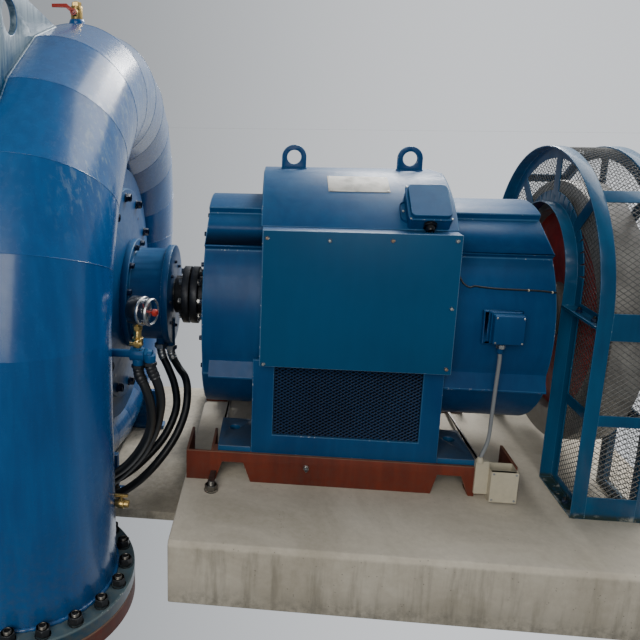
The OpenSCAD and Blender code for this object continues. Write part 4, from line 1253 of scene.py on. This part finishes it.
@dataclass
class Gauge:
    """The contact pressure gauge on its cock and the tee that feeds the front hoses."""

    centre: Point = (-0.756, -0.748, 1.026)
    turn_deg: float = -20.0
    tee_z: float = 0.868

    def turn(self) -> np.ndarray:
        """The gauge looks along +X, turned a little towards -Y."""
        t = math.radians(self.turn_deg)
        return aim((math.cos(t), math.sin(t), 0), (0, 0, 1))

    def ticks(self) -> Shell:
        """Scale marks round three quarters of the dial: every fifth is long and wide."""
        parts = []
        for i in range(31):
            t = math.radians(225 - 9 * i)
            long = i % 5 == 0
            r0, r1, w = (0.0300 if long else 0.0335), 0.0370, (0.0011 if long else 0.0005)
            d, s = np.array([math.cos(t), math.sin(t)]), np.array([-math.sin(t), math.cos(t)]) * w
            outline = np.array([d * r0 - s, d * r1 - s, d * r1 + s, d * r0 + s])
            parts.append(prism(outline, 0.0262, 0.0267))
        return joined(parts)

    def hand(self, angle: float, outline: np.ndarray, low: float, high: float) -> Shell:
        """A pointer: a flat outline turned about the dial's centre."""
        c, s = math.cos(math.radians(angle)), math.sin(math.radians(angle))
        return prism(outline, low, high).moved(np.array([[c, -s, 0], [s, c, 0], [0, 0, 1]]), (0, 0, 0))

    def build(self, finish: Finish) -> None:
        """Makes the can, clear bell, dial, needle and setting knob, then the cock and tee below."""
        turn, place = self.turn(), np.array(self.centre)
        can = turned(np.array([[0.040, -0.022], [0.046, -0.021], [0.049, -0.017], [0.049, 0.020],
                               [0.0475, 0.024],
                               [0.0440, 0.024]]), 72)
        rim = turned(np.array([[0.0490, 0.020], [0.0502, 0.0215], [0.0502, 0.0275], [0.0490, 0.0290],
                               [0.0455, 0.0290],
                               [0.0455, 0.0225]]), 72, closed=True).painted(1)
        lip = turned(np.array([[0.0462, 0.0520], [0.0474, 0.0530], [0.0474, 0.0575], [0.0456, 0.0600],
                               [0.0425, 0.0604],
                               [0.0425, 0.0560]]), 72, closed=True).painted(1)
        face = turned(np.array([[0.0440, 0.0235], [0.0440, 0.0258], [0.0430, 0.0262]]), 72).painted(2)
        make(joined([part.moved(turn, place) for part in (can, rim, lip, face)]), "gauge_case",
             [finish.black, finish.steel, finish.dial], Body.PLANT, "gauge_steel",
             replaces=("pressure_gauge",), smooth=40)
        bell = turned(np.array([[0.0455, 0.0280], [0.0468, 0.0285], [0.0466, 0.0535], [0.0440, 0.0590],
                                [0.0300, 0.0612],
                                [0.0120, 0.0618], [0.0118, 0.0604], [0.0290, 0.0598], [0.0430, 0.0576],
                                [0.0452, 0.0530]]),
                      72, closed=True)
        make(bell.moved(turn, place), "gauge_bell", [finish.glass], Body.PLANT, "gauge_steel", smooth=60)
        stem = turned(np.array([[0.0145, -0.112], [0.0145, -0.094], [0.0105, -0.088], [0.0105, -0.066],
                                [0.0085, -0.060],
                                [0.0085, -0.045]]), 32)
        neck = joined([stem, hex_nut(0.030, 0.017).moved(np.eye(3), (0, 0, -0.070)),
                       hex_nut(0.034, 0.013).moved(np.eye(3), (0, 0, -0.128))])
        make(neck.moved(np.eye(3), place), "gauge_neck", [finish.brass], Body.PLANT, "brass_fittings")
        needle = self.hand(100,
                           np.array([[-0.0016, -0.012], [0.0016, -0.012], [0.0009, 0.028], [0, 0.031],
                                     [-0.0009, 0.028]]),
                           0.0290, 0.0296)
        marks = joined([self.ticks(), needle, disc(0.004, 0.0262, 0.0310)])
        make(marks.moved(turn, place), "gauge_marks", [finish.black], Body.PLANT, "gauge_steel")
        knob = turned(np.array([[0.0045, 0.0320], [0.0045, 0.0630], [0.0115, 0.0640], [0.0130, 0.0690],
                                [0.0125, 0.0750],
                                [0.0080, 0.0785], [0.0030, 0.0790]]), 24)
        bar = np.array([[-0.0020, 0.004], [0.0020, 0.004], [0.0020, 0.033], [-0.0020, 0.033]])
        hands = [self.hand(angle, bar, 0.0320, 0.0330) for angle in (-52, 28)]
        make(joined([knob, *hands]).moved(turn, place), "gauge_knob", [finish.red], Body.PLANT, "lever_red")
        redress("gauge_cock", [finish.brass], "brass_fittings", width=0.0012)
        redress("pressure_tee", [finish.body], "fitting_steel", width=0.0015, smooth=40)
        rings = [hex_nut(0.043, 0.014).moved(np.eye(3), (x, y, z)) for x, y, z in
                 ((-0.755, -0.748, 0.816), (-0.713, -0.750, 0.829))]
        union = hex_nut(0.038, 0.012).moved(aim((1, 0, 0)), (-0.732, -0.748, self.tee_z)).painted(1)
        make(joined([*rings, union]), "tee_nuts", [finish.dark_steel, finish.body], Body.PLANT,
             "fitting_steel")
        redress("drain_tap", [finish.brass], "brass_fittings", width=0.0012)
        redress("hose_manifold", [finish.body, finish.body_edge], "fitting_steel", width=0.002, edge_slot=1)


@dataclass
class BearingLine:
    """The turbine bearing, the coupling and the shaft."""

    def build(self, finish: Finish) -> None:
        """Dresses the housing and the turning parts, and sets their bolts."""
        redress("bearing_housing", [finish.body, finish.body_edge], "casing_blue", width=0.003, edge_slot=1)
        bolt = Fastener(0.024, 0.015, 0.003).shell()
        base = planted(bolt, ring_places((-0.915, 0, SHAFT_Z), 0.229, 12, "x", 15.0), (1, 0, 0))
        face = planted(Fastener(0.013, 0.008, 0.002).shell(),
                       ring_places((-0.745, 0, SHAFT_Z), 0.150, 8, "x", 0.0), (1, 0, 0))
        make(joined([base, face]), "bearing_bolts", [finish.navy], Body.PLANT, "casing_blue")
        nuts = [hex_nut(0.050, 0.022).moved(np.eye(3), place) for place in ((-0.797, -0.085, 0.652),
                                                                            (-0.757, -0.050, 0.634))]
        make(joined(nuts), "rear_hose_nuts", [finish.zinc], Body.PLANT, "fitting_steel")
        redress("drive_shaft", [finish.steel], "shaft_steel", Body.ROTOR, width=0.003)
        redress("shaft_coupling", [finish.dark_steel], "coupling_steel", Body.ROTOR, width=0.002)
        heads = [planted(Fastener(0.024, 0.012, 0.002).shell(),
                         ring_places((-0.630, 0, SHAFT_Z), 0.108, 8, "x"), (1, 0, 0)),
                 planted(Fastener(0.024, 0.012, 0.002).shell(),
                         ring_places((-0.700, 0, SHAFT_Z), 0.108, 8, "x"), (-1, 0, 0))]
        make(joined(heads), "coupling_bolts", [finish.zinc], Body.ROTOR, "coupling_steel")
        redress("flywheel", [finish.iron], "flywheel_iron", Body.ROTOR, width=0.004)


# Generator.


@dataclass
class Generator:
    """The round stator, its hood, terminal boxes, pedestal, eyes and small dress."""

    screws_xz: tuple[tuple[float, float], ...] = ((-324, 1249), (-100, 1245), (120, 1251), (342, 1256),
                                                  (342, 1010),
                                                  (342, 780), (-326, 767))
    panel_y: float = -0.530
    hood_r: float = 0.590
    plate_x: tuple[float, float] = (-0.095, 0.141)
    plate_rise: tuple[float, float] = (60.5, 72.5)

    def shells(self, finish: Finish) -> None:
        """Dresses the sheet metal and castings."""
        blue, edge = finish.body, finish.body_edge
        redress("stator_frame", [blue, edge], "generator_blue", width=0.005, steps=3, edge_slot=1)
        redress("end_shields", [blue, edge], "generator_blue", width=0.004, edge_slot=1)
        redress("top_hood", [blue, edge], "generator_blue", width=0.006, steps=3, edge_slot=1, smooth=20)
        redress("lifting_eyes", [blue, edge], "generator_blue", width=0.003, edge_slot=1)
        redress("terminal_box", [blue, edge], "generator_blue", width=0.003, edge_slot=1)
        redress("terminal_panel", [finish.panel, finish.panel_edge], "panel_blue", width=0.0018, edge_slot=1)
        redress("pedestal", [blue, edge], "generator_blue", width=0.003, edge_slot=1)
        redress("foot_plates", [finish.foot, finish.foot_edge], "generator_blue", width=0.003, edge_slot=1)

    def nameplate(self, finish: Finish) -> None:
        """A bare plate bent on the hood: its points lie on a circle about the shaft, a millimetre out."""
        rise = np.radians(np.linspace(*self.plate_rise, 9))
        rows = []
        for r in (self.hood_r + 0.0004, self.hood_r + 0.0022):
            rows.append(np.stack([np.stack([np.full(9, x), -r * np.cos(rise), SHAFT_Z + r * np.sin(rise)],
                                           -1) for x in self.plate_x], 1))
        low, high = rows
        grid = np.stack([low[:, 0], low[:, 1], high[:, 1], high[:, 0]], 1)
        plate = lattice(grid, cap=True)
        rivets = []
        for x in (self.plate_x[0] + 0.008, self.plate_x[1] - 0.008):
            for deg in (self.plate_rise[0] + 0.8, self.plate_rise[1] - 0.8):
                t = math.radians(deg)
                out = (0.0, -math.cos(t), math.sin(t))
                place = np.array([x, -self.hood_r * math.cos(t),
                                  SHAFT_Z + self.hood_r * math.sin(t)]) + 0.0020 * np.array(out)
                rivets.append(screw_head(0.0035, 0.002).moved(aim(out, (1, 0, 0)), place))
        make(joined([plate, *[s.painted(1) for s in rivets]]), "nameplate", [finish.plate, finish.zinc],
             Body.PLANT, "gauge_steel")

    def screws(self, finish: Finish) -> None:
        """The panel's screws on both sides, some of them rusty."""
        places = np.array([[x, 0, z] for x, z in self.screws_xz]) * MM
        head = joined([disc(0.0085, -0.0005, 0.0012),
                       screw_head(0.006, 0.0042).moved(np.eye(3), (0, 0, 0.0012))])
        parts = []
        for side in (-1, 1):
            at = places + [0, -side * self.panel_y, 0]
            good = [i for i in range(len(at)) if i not in (0, 2, 5)]
            parts.append(planted(head, at[good], (0, side, 0)))
            parts.append(planted(head, at[[0, 2, 5]], (0, side, 0)).painted(1))
        make(joined(parts), "panel_screws", [finish.zinc, finish.rusty], Body.PLANT, "fitting_steel")

    def eye_welds(self, finish: Finish) -> None:
        """Fillet welds at the foot of the two lifting eyes."""
        beads = []
        for x in (-0.225, 0.261):
            for y in (-0.012, 0.012):
                path = np.stack([np.linspace(x - 0.054, x + 0.054, 46), np.full(46, y), np.full(46, 1.4625)],
                                -1)
                beads.append(weld(path, 0.0045, False, (0, 0, 1), seed=int(100 * abs(x + y))))
        make(joined(beads), "eye_welds", [finish.body], Body.PLANT, "generator_blue", smooth=60)

    def air_grille(self, finish: Finish) -> None:
        """The pedestal's mesh windows: crossing strands over a dark sheet of painted shade for the space
        behind, on both sides.
        """
        x0, x1, z0, z1 = -0.282, 0.281, 0.447, 0.745
        parts = []
        for side in (-1, 1):
            y = side * 0.4555
            pitch, lean = 0.0235, 0.60
            parts.append(strands(x0, x1, z0, z1, pitch, lean, 0.0040, 0.0026).moved(
                np.array([[1, 0, 0], [0, 0, side], [0, 1, 0]]), (0, y, 0)))
        # The dark sheets behind the strands are painted shade for the space inside the pedestal.
        back = joined([block((x0, -0.4545, z0), (x1, -0.4525, z1)),
                       block((x0, 0.4525, z0), (x1, 0.4545, z1))])
        make(joined([*parts, back.painted(1)]), "air_grille", [finish.air_wire, finish.shade], Body.PLANT,
             "air_mesh_wire",
             replaces=("air_mesh",))

    def end_dress(self, finish: Finish) -> None:
        """Cover bolts and cooling slots on the generator's two ends."""
        parts, slots = [], []
        for x, out in ((-0.572, -1), (0.748, 1)):
            parts.append(planted(Fastener(0.018, 0.011, 0.003).shell(),
                                 ring_places((x, 0, SHAFT_Z), 0.385, 16, "x", 11.25),
                                 (out, 0, 0)).painted(1))
            t = np.radians(np.arange(12) * 30.0)
            for k in t:
                radial = np.array([0, -math.cos(k), math.sin(k)])
                turn = np.stack([np.cross(radial, [out, 0, 0]), radial, [out, 0, 0]], -1)
                slots.append(prism(np.array([[-0.006, 0.19], [0.006, 0.19], [0.006, 0.35], [-0.006, 0.35]]),
                                   0.0002, 0.012).moved(
                    turn, (x, 0, SHAFT_Z)))
        make(joined([*slots, *parts]), "end_shield_ribs", [finish.body, finish.navy], Body.PLANT,
             "generator_blue", width=0.002)

    def skirts(self, finish: Finish) -> None:
        """The bent drip strips along the lower edge of the stator's two faces."""
        section = np.array([[0.4060, 0.7265], [0.4075, 0.7280], [0.4360, 0.6690], [0.4350, 0.6620],
                            [0.4100, 0.6660]])
        turn = np.array([[0, 0, 1.0], [1, 0, 0], [0, 1, 0]])
        strips = [prism(section * [side, 1], -0.5430, 0.7420).moved(turn, (0, 0, 0)) for side in (-1, 1)]
        make(joined(strips), "barrel_skirts", [finish.body, finish.body_edge], Body.PLANT, "generator_blue",
             width=0.0015,
             edge_slot=1)

    def barrel_cable(self, finish: Finish) -> None:
        """The thin cable tied along the stator's face, with two pale ties."""
        points = np.array([(394, 0, 1124), (399, 0, 1104), (410, 0, 1078), (432, 0, 1062), (455, 0, 1066),
                           (480, 0, 1063),
                           (540, 0, 1059), (610, 0, 1058), (680, 0, 1057), (736, 0, 1053),
                           (744, 0, 1052)]) * MM
        z = points[:, 2] - SHAFT_Z
        off = np.array([0, 4, 6, 6, 5, 3.8, 3.8, 3.8, 3.8, 3.5, 0]) * MM
        points[:, 1] = -np.sqrt(0.437 ** 2 - z ** 2) - off
        path = spline(points, 6)
        piece = make(tube(path, 0.0035, 12, reference=(0, 0, 1)), "barrel_cable", [finish.hose], Body.PLANT,
                     "hose_rubber")
        ties = []
        for x in (0.648, 0.728):
            near = path[np.argmin(np.abs(path[:, 0] - x))]
            ring = turned(np.array([[0.0036, -0.002], [0.0048, -0.002], [0.0048, 0.002], [0.0036, 0.002]]),
                          16, closed=True)
            ties.append(ring.moved(aim((1, 0, 0)), near))
            ties.append(block(tuple(near + [-0.002, -0.0075, -0.002]), tuple(near + [0.002, -0.004, 0.002])))
        tie = make(joined(ties), "cable_ties", [finish.cream], Body.PLANT, "box_cream")

    def build(self, finish: Finish) -> None:
        """Makes the whole generator."""
        self.shells(finish)
        self.nameplate(finish)
        self.screws(finish)
        self.eye_welds(finish)
        self.air_grille(finish)
        self.end_dress(finish)
        self.skirts(finish)
        self.barrel_cable(finish)


def clipped(starts: np.ndarray, step: np.ndarray, count: int, inside) -> tuple[np.ndarray, np.ndarray]:
    """Cuts straight lines where they leave a region.

    Each line is sampled at even steps, and a strand runs between the first and the last sample inside.

    Args:
        starts: (m, 2) first points of the lines.
        step: (2,) the step between samples.
        count: samples along each line.
        inside: tells for an array of points which lie in the region.

    Returns:
        The (k, 2) starts and (k, 2) ends of the strands.
    """
    at = starts[:, None] + np.arange(count)[None, :, None] * step
    keep = np.pad(inside(at), ((0, 0), (1, 1)))
    line0, first = np.nonzero(keep[:, 1:] & ~keep[:, :-1])
    line1, last = np.nonzero(~keep[:, 1:] & keep[:, :-1])
    a = starts[line0] + first[:, None] * step
    b = starts[line1] + (last - 1)[:, None] * step
    long = np.linalg.norm(b - a, axis=1) > 2.5 * np.linalg.norm(step)
    return a[long], b[long]


def strands(x0: float, x1: float, z0: float, z1: float, pitch: float, lean: float, width: float,
            thick: float,
            inside=None) -> Shell:
    """A flat diamond mesh in the X and Y plane over a rectangle, kept where inside is true.

    Strands run both ways at the slope lean (rise over run), one pitch apart along X, and stop at the border.

    Args:
        x0, x1, z0, z1: the rectangle.
        pitch: the diamond's width.
        lean: its height over its width.
        width: the strand's width.
        thick: its thickness.
        inside: the region, or the whole rectangle.

    Returns:
        The strands as one shell, at height 0.
    """
    inside = inside or (lambda p: (p[..., 0] >= x0) & (p[..., 0] <= x1) & (p[..., 1] >= z0) & (p[...,
                                                                                                 1] <= z1))
    reach = (z1 - z0) / lean
    parts = []
    for sign in (1, -1):
        first = np.arange(x0 - reach, x1 + reach, pitch)
        base = np.column_stack([first, np.full(len(first), z0)])
        small = 0.0015
        step = np.array([sign * small, small * lean])
        a, b = clipped(base, step, int(reach / small) + 2, inside)
        flat = lambda p: np.column_stack([p, np.zeros(len(p))])
        parts.append(bars(flat(a), flat(b), np.array([0, 0, 1.0]), width, thick))
    return joined(parts)


@dataclass
class BaseFrame:
    """The plinths, rails and channel ends, with anchors and the earth bolt."""

    def build(self, finish: Finish) -> None:
        """Dresses concrete and rails, and sets the studs that hold them."""
        redress("generator_plinth", [finish.concrete], "concrete", width=0.006, steps=3)
        redress("turbine_plinth", [finish.concrete], "concrete", width=0.005, steps=3)
        redress("base_rails", [finish.oxide, finish.oxide_edge], "rail_red", width=0.002, edge_slot=1)
        redress("end_channels", [finish.oxide, finish.oxide_edge], "rail_red", width=0.002, edge_slot=1)
        anchor = Fastener(0.044, 0.022, 0.005, 0.014, 0.018).shell()
        spots = [(-0.515, -0.551), (-0.515, 0.551), (0.570, -0.395), (0.570, 0.395)]
        shells = [anchor.moved(np.eye(3), (x, y, z)) for (x, y),
                  z in zip(spots, (PLINTH_TOP, PLINTH_TOP, 0.252, 0.252))]
        make(joined(shells), "anchor_studs", [finish.thread, finish.thread], Body.PLANT, "fitting_steel")
        earth = Fastener(0.019, 0.010, 0.003, 0.006, 0.014).shell().moved(aim((0, -1, 0)),
                                                                          (-0.145, -0.475, 0.318))
        make(earth, "earth_bolt", [finish.zinc, finish.zinc], Body.PLANT, "fitting_steel")


@dataclass
class JunctionBoxes:
    """The box on the hood, the box on the stator's face and the cream box by the rail."""

    def build(self, finish: Finish) -> None:
        """Dresses the boxes, with lids, screws and cable glands."""
        blue, edge = finish.body, finish.body_edge
        redress("barrel_junction_box", [blue, edge], "generator_blue", width=0.006, steps=3, edge_slot=-1)
        boxes = joined([block((0.549, -0.502, PLINTH_TOP), (0.647, -0.442, 0.3725)),
                        block((0.499, -0.485, 0.258), (0.550, -0.461, 0.3955))])
        make(boxes, "cream_boxes", [finish.cream], Body.PLANT, "box_cream", replaces=("white_junction_box",),
             width=0.003)
        lean = math.radians(39)
        out = np.array([0, -math.sin(lean), math.cos(lean)])
        side = np.array([0, -math.cos(lean), -math.sin(lean)])
        turn = np.stack([np.array([1.0, 0, 0]), side * -1, out], -1)
        x0, x1, low, high = 0.186, 0.336, -0.092, 0.078
        ears = prism(rounded(x0 - 0.021, x1 + 0.016, -0.061, 0.035, 0.020), 0.575, 0.598)
        case = prism(rounded(x0, x1, low + 0.004, high - 0.004, 0.010), 0.575, 0.632)
        lip = prism(rounded(x0 - 0.004, x1 + 0.004, low, high, 0.014), 0.632, 0.639)
        lid = prism(rounded(x0 + 0.004, x1 - 0.004, low + 0.006, high - 0.006, 0.018), 0.639, 0.656)
        make(joined([ears, case, lip, lid]).moved(turn, (0, 0, SHAFT_Z)), "hood_box", [blue, edge],
             Body.PLANT,
             "generator_blue", replaces=("hood_junction_box",), width=0.0022, edge_slot=1)
        screws = [screw_head(0.0045, 0.003).moved(turn, turn @ np.array([x, y, 0.639]) + [0, 0, SHAFT_Z])
                  for x in (x0 + 0.003, x1 - 0.003) for y in (low + 0.005, high - 0.005)]
        screws += [screw_head(0.0055, 0.003).moved(turn,
                                                   turn @ np.array([x, -0.013, 0.598]) + [0, 0, SHAFT_Z])
                   for x in (x0 - 0.011, x1 + 0.008)]
        make(joined(screws), "hood_box_screws", [finish.zinc], Body.PLANT, "fitting_steel")
        gland = joined([hex_nut(0.044, 0.014),
                        turned(np.array([[0.017, 0.012], [0.017, 0.026], [0.012, 0.034], [0.008, 0.034]]),
                               28)])
        down = aim(tuple(side), (1, 0, 0))
        at = turn @ np.array([0.260, -0.088, 0.610]) + [0, 0, SHAFT_Z]
        make(gland.moved(down, at), "hood_box_gland", [finish.black], Body.PLANT, "hose_rubber")
        seam = joined([block((0.5015, -0.4765, 0.8705), (0.6185, -0.4735, 0.9855))])
        small = planted(screw_head(0.004, 0.003),
                        [(x, -0.505, z) for x in (0.513, 0.607) for z in (0.881, 0.975)], (0, -1, 0))
        nut = hex_nut(0.030, 0.016).moved(np.eye(3), (0.543, -0.477, 0.852))
        make(joined([seam, small.painted(1), nut.painted(1)]), "barrel_box_lid", [finish.body, finish.zinc],
             Body.PLANT,
             "generator_blue", width=0.001)
        lid = joined([block((0.5478, -0.5182, 0.2480), (0.6482, -0.5020, 0.3742))])
        marks = planted(screw_head(0.0045, 0.002),
                        [(x, -0.5182, z) for x in (0.557, 0.639) for z in (0.257, 0.365)], (0, -1, 0))
        port = turned(np.array([[0.013, 0.0], [0.013, 0.012], [0.009, 0.022], [0.006, 0.022]]),
                      24).moved(np.eye(3), (0.510, -0.488, 0.3955))
        make(joined([lid, marks.painted(1), port]), "cream_box_lid", [finish.cream, finish.conduit],
             Body.PLANT, "box_cream", width=0.001)


def rounded(x0: float, x1: float, y0: float, y1: float, r: float, steps: int = 6) -> np.ndarray:
    """A rectangle with rounded corners, each a quarter circle."""
    t = np.linspace(0, np.pi / 2, steps)
    corners = [(x1 - r, y1 - r, 0.0), (x0 + r, y1 - r, np.pi / 2), (x0 + r, y0 + r, np.pi),
               (x1 - r, y0 + r, 1.5 * np.pi)]
    return np.concatenate([np.column_stack([cx + r * np.cos(t + a), cy + r * np.sin(t + a)]) for cx, cy,
                           a in corners])


@dataclass
class Guard:
    """The flywheel guard: angle iron frames, ties, diamond mesh and bolts."""

    outer_r: float = 0.5715
    centre_z: float = 0.995
    inner_r: float = 0.297
    inner_z: float = 1.050
    foot_z: float = 0.245
    pitch: float = 0.029
    lean: float = 0.72

    def inside(self, p: np.ndarray) -> np.ndarray:
        """True inside the outer arch and outside the shaft's arch."""
        y, z = p[..., 0], p[..., 1]
        outer = np.where(z > self.centre_z, np.hypot(y, z - self.centre_z) <= self.outer_r,
                         np.abs(y) <= self.outer_r)
        inner = np.where(z > self.inner_z, np.hypot(y, z - self.inner_z) <= self.inner_r,
                         np.abs(y) <= self.inner_r)
        return outer & ~inner & (z >= self.foot_z)

    def side_mesh(self, finish: Finish) -> None:
        """Diamond mesh on both faces, clipped to the arch."""
        flat = strands(-self.outer_r, self.outer_r, self.foot_z, 1.570, self.pitch, self.lean, 0.0028,
                       0.0026, self.inside)
        turn = np.array([[0, 0, 1.0], [1, 0, 0], [0, 1, 0]])
        shell = joined([flat.moved(turn, (x, 0, 0)) for x in (0.8695, 1.0385)])
        make(shell, "guard_side_wire", [finish.wire], Body.PLANT, "guard_mesh_wire",
             replaces=("guard_side_mesh",))

    def rim_mesh(self, finish: Finish) -> None:
        """Diamond mesh over the rim: strands cross the width as they follow the arch's straights and curve."""
        r, x0, x1, z0 = 0.5735, 0.8685, 1.0395, 0.241
        straight = self.centre_z - z0
        total = 2 * straight + np.pi * r
        span = x1 - x0
        rise = span * self.lean
        starts = np.arange(-rise, total, self.pitch * self.lean)
        t = np.linspace(0, 1, 7)
        parts = []
        for sign in (1, -1):
            s = starts[:, None] + rise * t
            x = (x0 + span * t if sign > 0 else x1 - span * t)[None] + 0 * s
            s0, s1 = s[:, :-1].clip(0, total).ravel(), s[:, 1:].clip(0, total).ravel()
            xa, xb = x[:, :-1].ravel(), x[:, 1:].ravel()
            good = s1 - s0 > 1e-4
            a, b = self.wrap(xa, s0, straight, r, z0), self.wrap(xb, s1, straight, r, z0)
            a, b = a[good], b[good]
            middle = (a + b) / 2
            out = np.stack([0 * middle[:, 0], middle[:, 1], np.maximum(middle[:, 2] - self.centre_z, 0)], -1)
            out /= np.linalg.norm(out, axis=1)[:, None]
            parts.append(bars(a, b, out, 0.0028, 0.0026))
        make(joined(parts), "guard_rim_wire", [finish.wire], Body.PLANT, "guard_mesh_wire",
             replaces=("guard_rim_mesh",))

    def wrap(self, x: np.ndarray, s: np.ndarray, straight: float, r: float, z0: float) -> np.ndarray:
        """The place of run s along the rim: up the front, round the arch, and down the back."""
        angle = np.clip((s - straight) / r, 0, np.pi)
        y = -r * np.cos(angle)
        z = self.centre_z + r * np.sin(angle)
        z = np.where(s < straight, z0 + s, z)
        z = np.where(s > straight + np.pi * r, self.centre_z - (s - straight - np.pi * r), z)
        return np.stack([x, y, z], -1)

    def bolts(self, finish: Finish) -> None:
        """Bolts through the split shelves, the ties and the foot plates."""
        top = Fastener(0.019, 0.010, 0.002, 0.006, 0.008).shell()
        low = Fastener(0.019, 0.010, 0.002).shell()
        shelf = [(x, s * y, 0.977) for x in (0.841, 1.067) for s in (-1, 1) for y in (0.390, 0.510)]
        under = [(x, y, 0.967) for x, y, _ in shelf]
        feet = [(x, s * 0.480, 0.245) for x in (0.841, 1.067) for s in (-1, 1)]
        make(joined([planted(top, shelf, (0, 0, 1)), planted(low, under, (0, 0, -1)),
                     planted(top, feet, (0, 0, 1))]),
             "guard_bolts", [finish.navy, finish.dark_steel], Body.PLANT, "guard_teal")

    def build(self, finish: Finish) -> None:
        """Makes the whole guard."""
        for node in ("guard_near_frame", "guard_far_frame", "guard_ties"):
            redress(node, [finish.guard, finish.guard_edge], "guard_teal", width=0.0011, edge_slot=1)
        self.side_mesh(finish)
        self.rim_mesh(finish)
        self.bolts(finish)


def main() -> None:
    """Builds the scene: the camera and the lines first, then each sub-assembly."""
    logging.basicConfig(level=logging.INFO, format="%(message)s")
    View().make()
    finish = Finish()
    for part in (Lines(), Casing(), BleedValve(), Gauge(), BearingLine(), Generator(), BaseFrame(),
                 JunctionBoxes(), Guard(),
                 Studio()):
        part.build(finish)
        LOG.info("built %s", type(part).__name__)


if __name__ == "__main__":
    main()
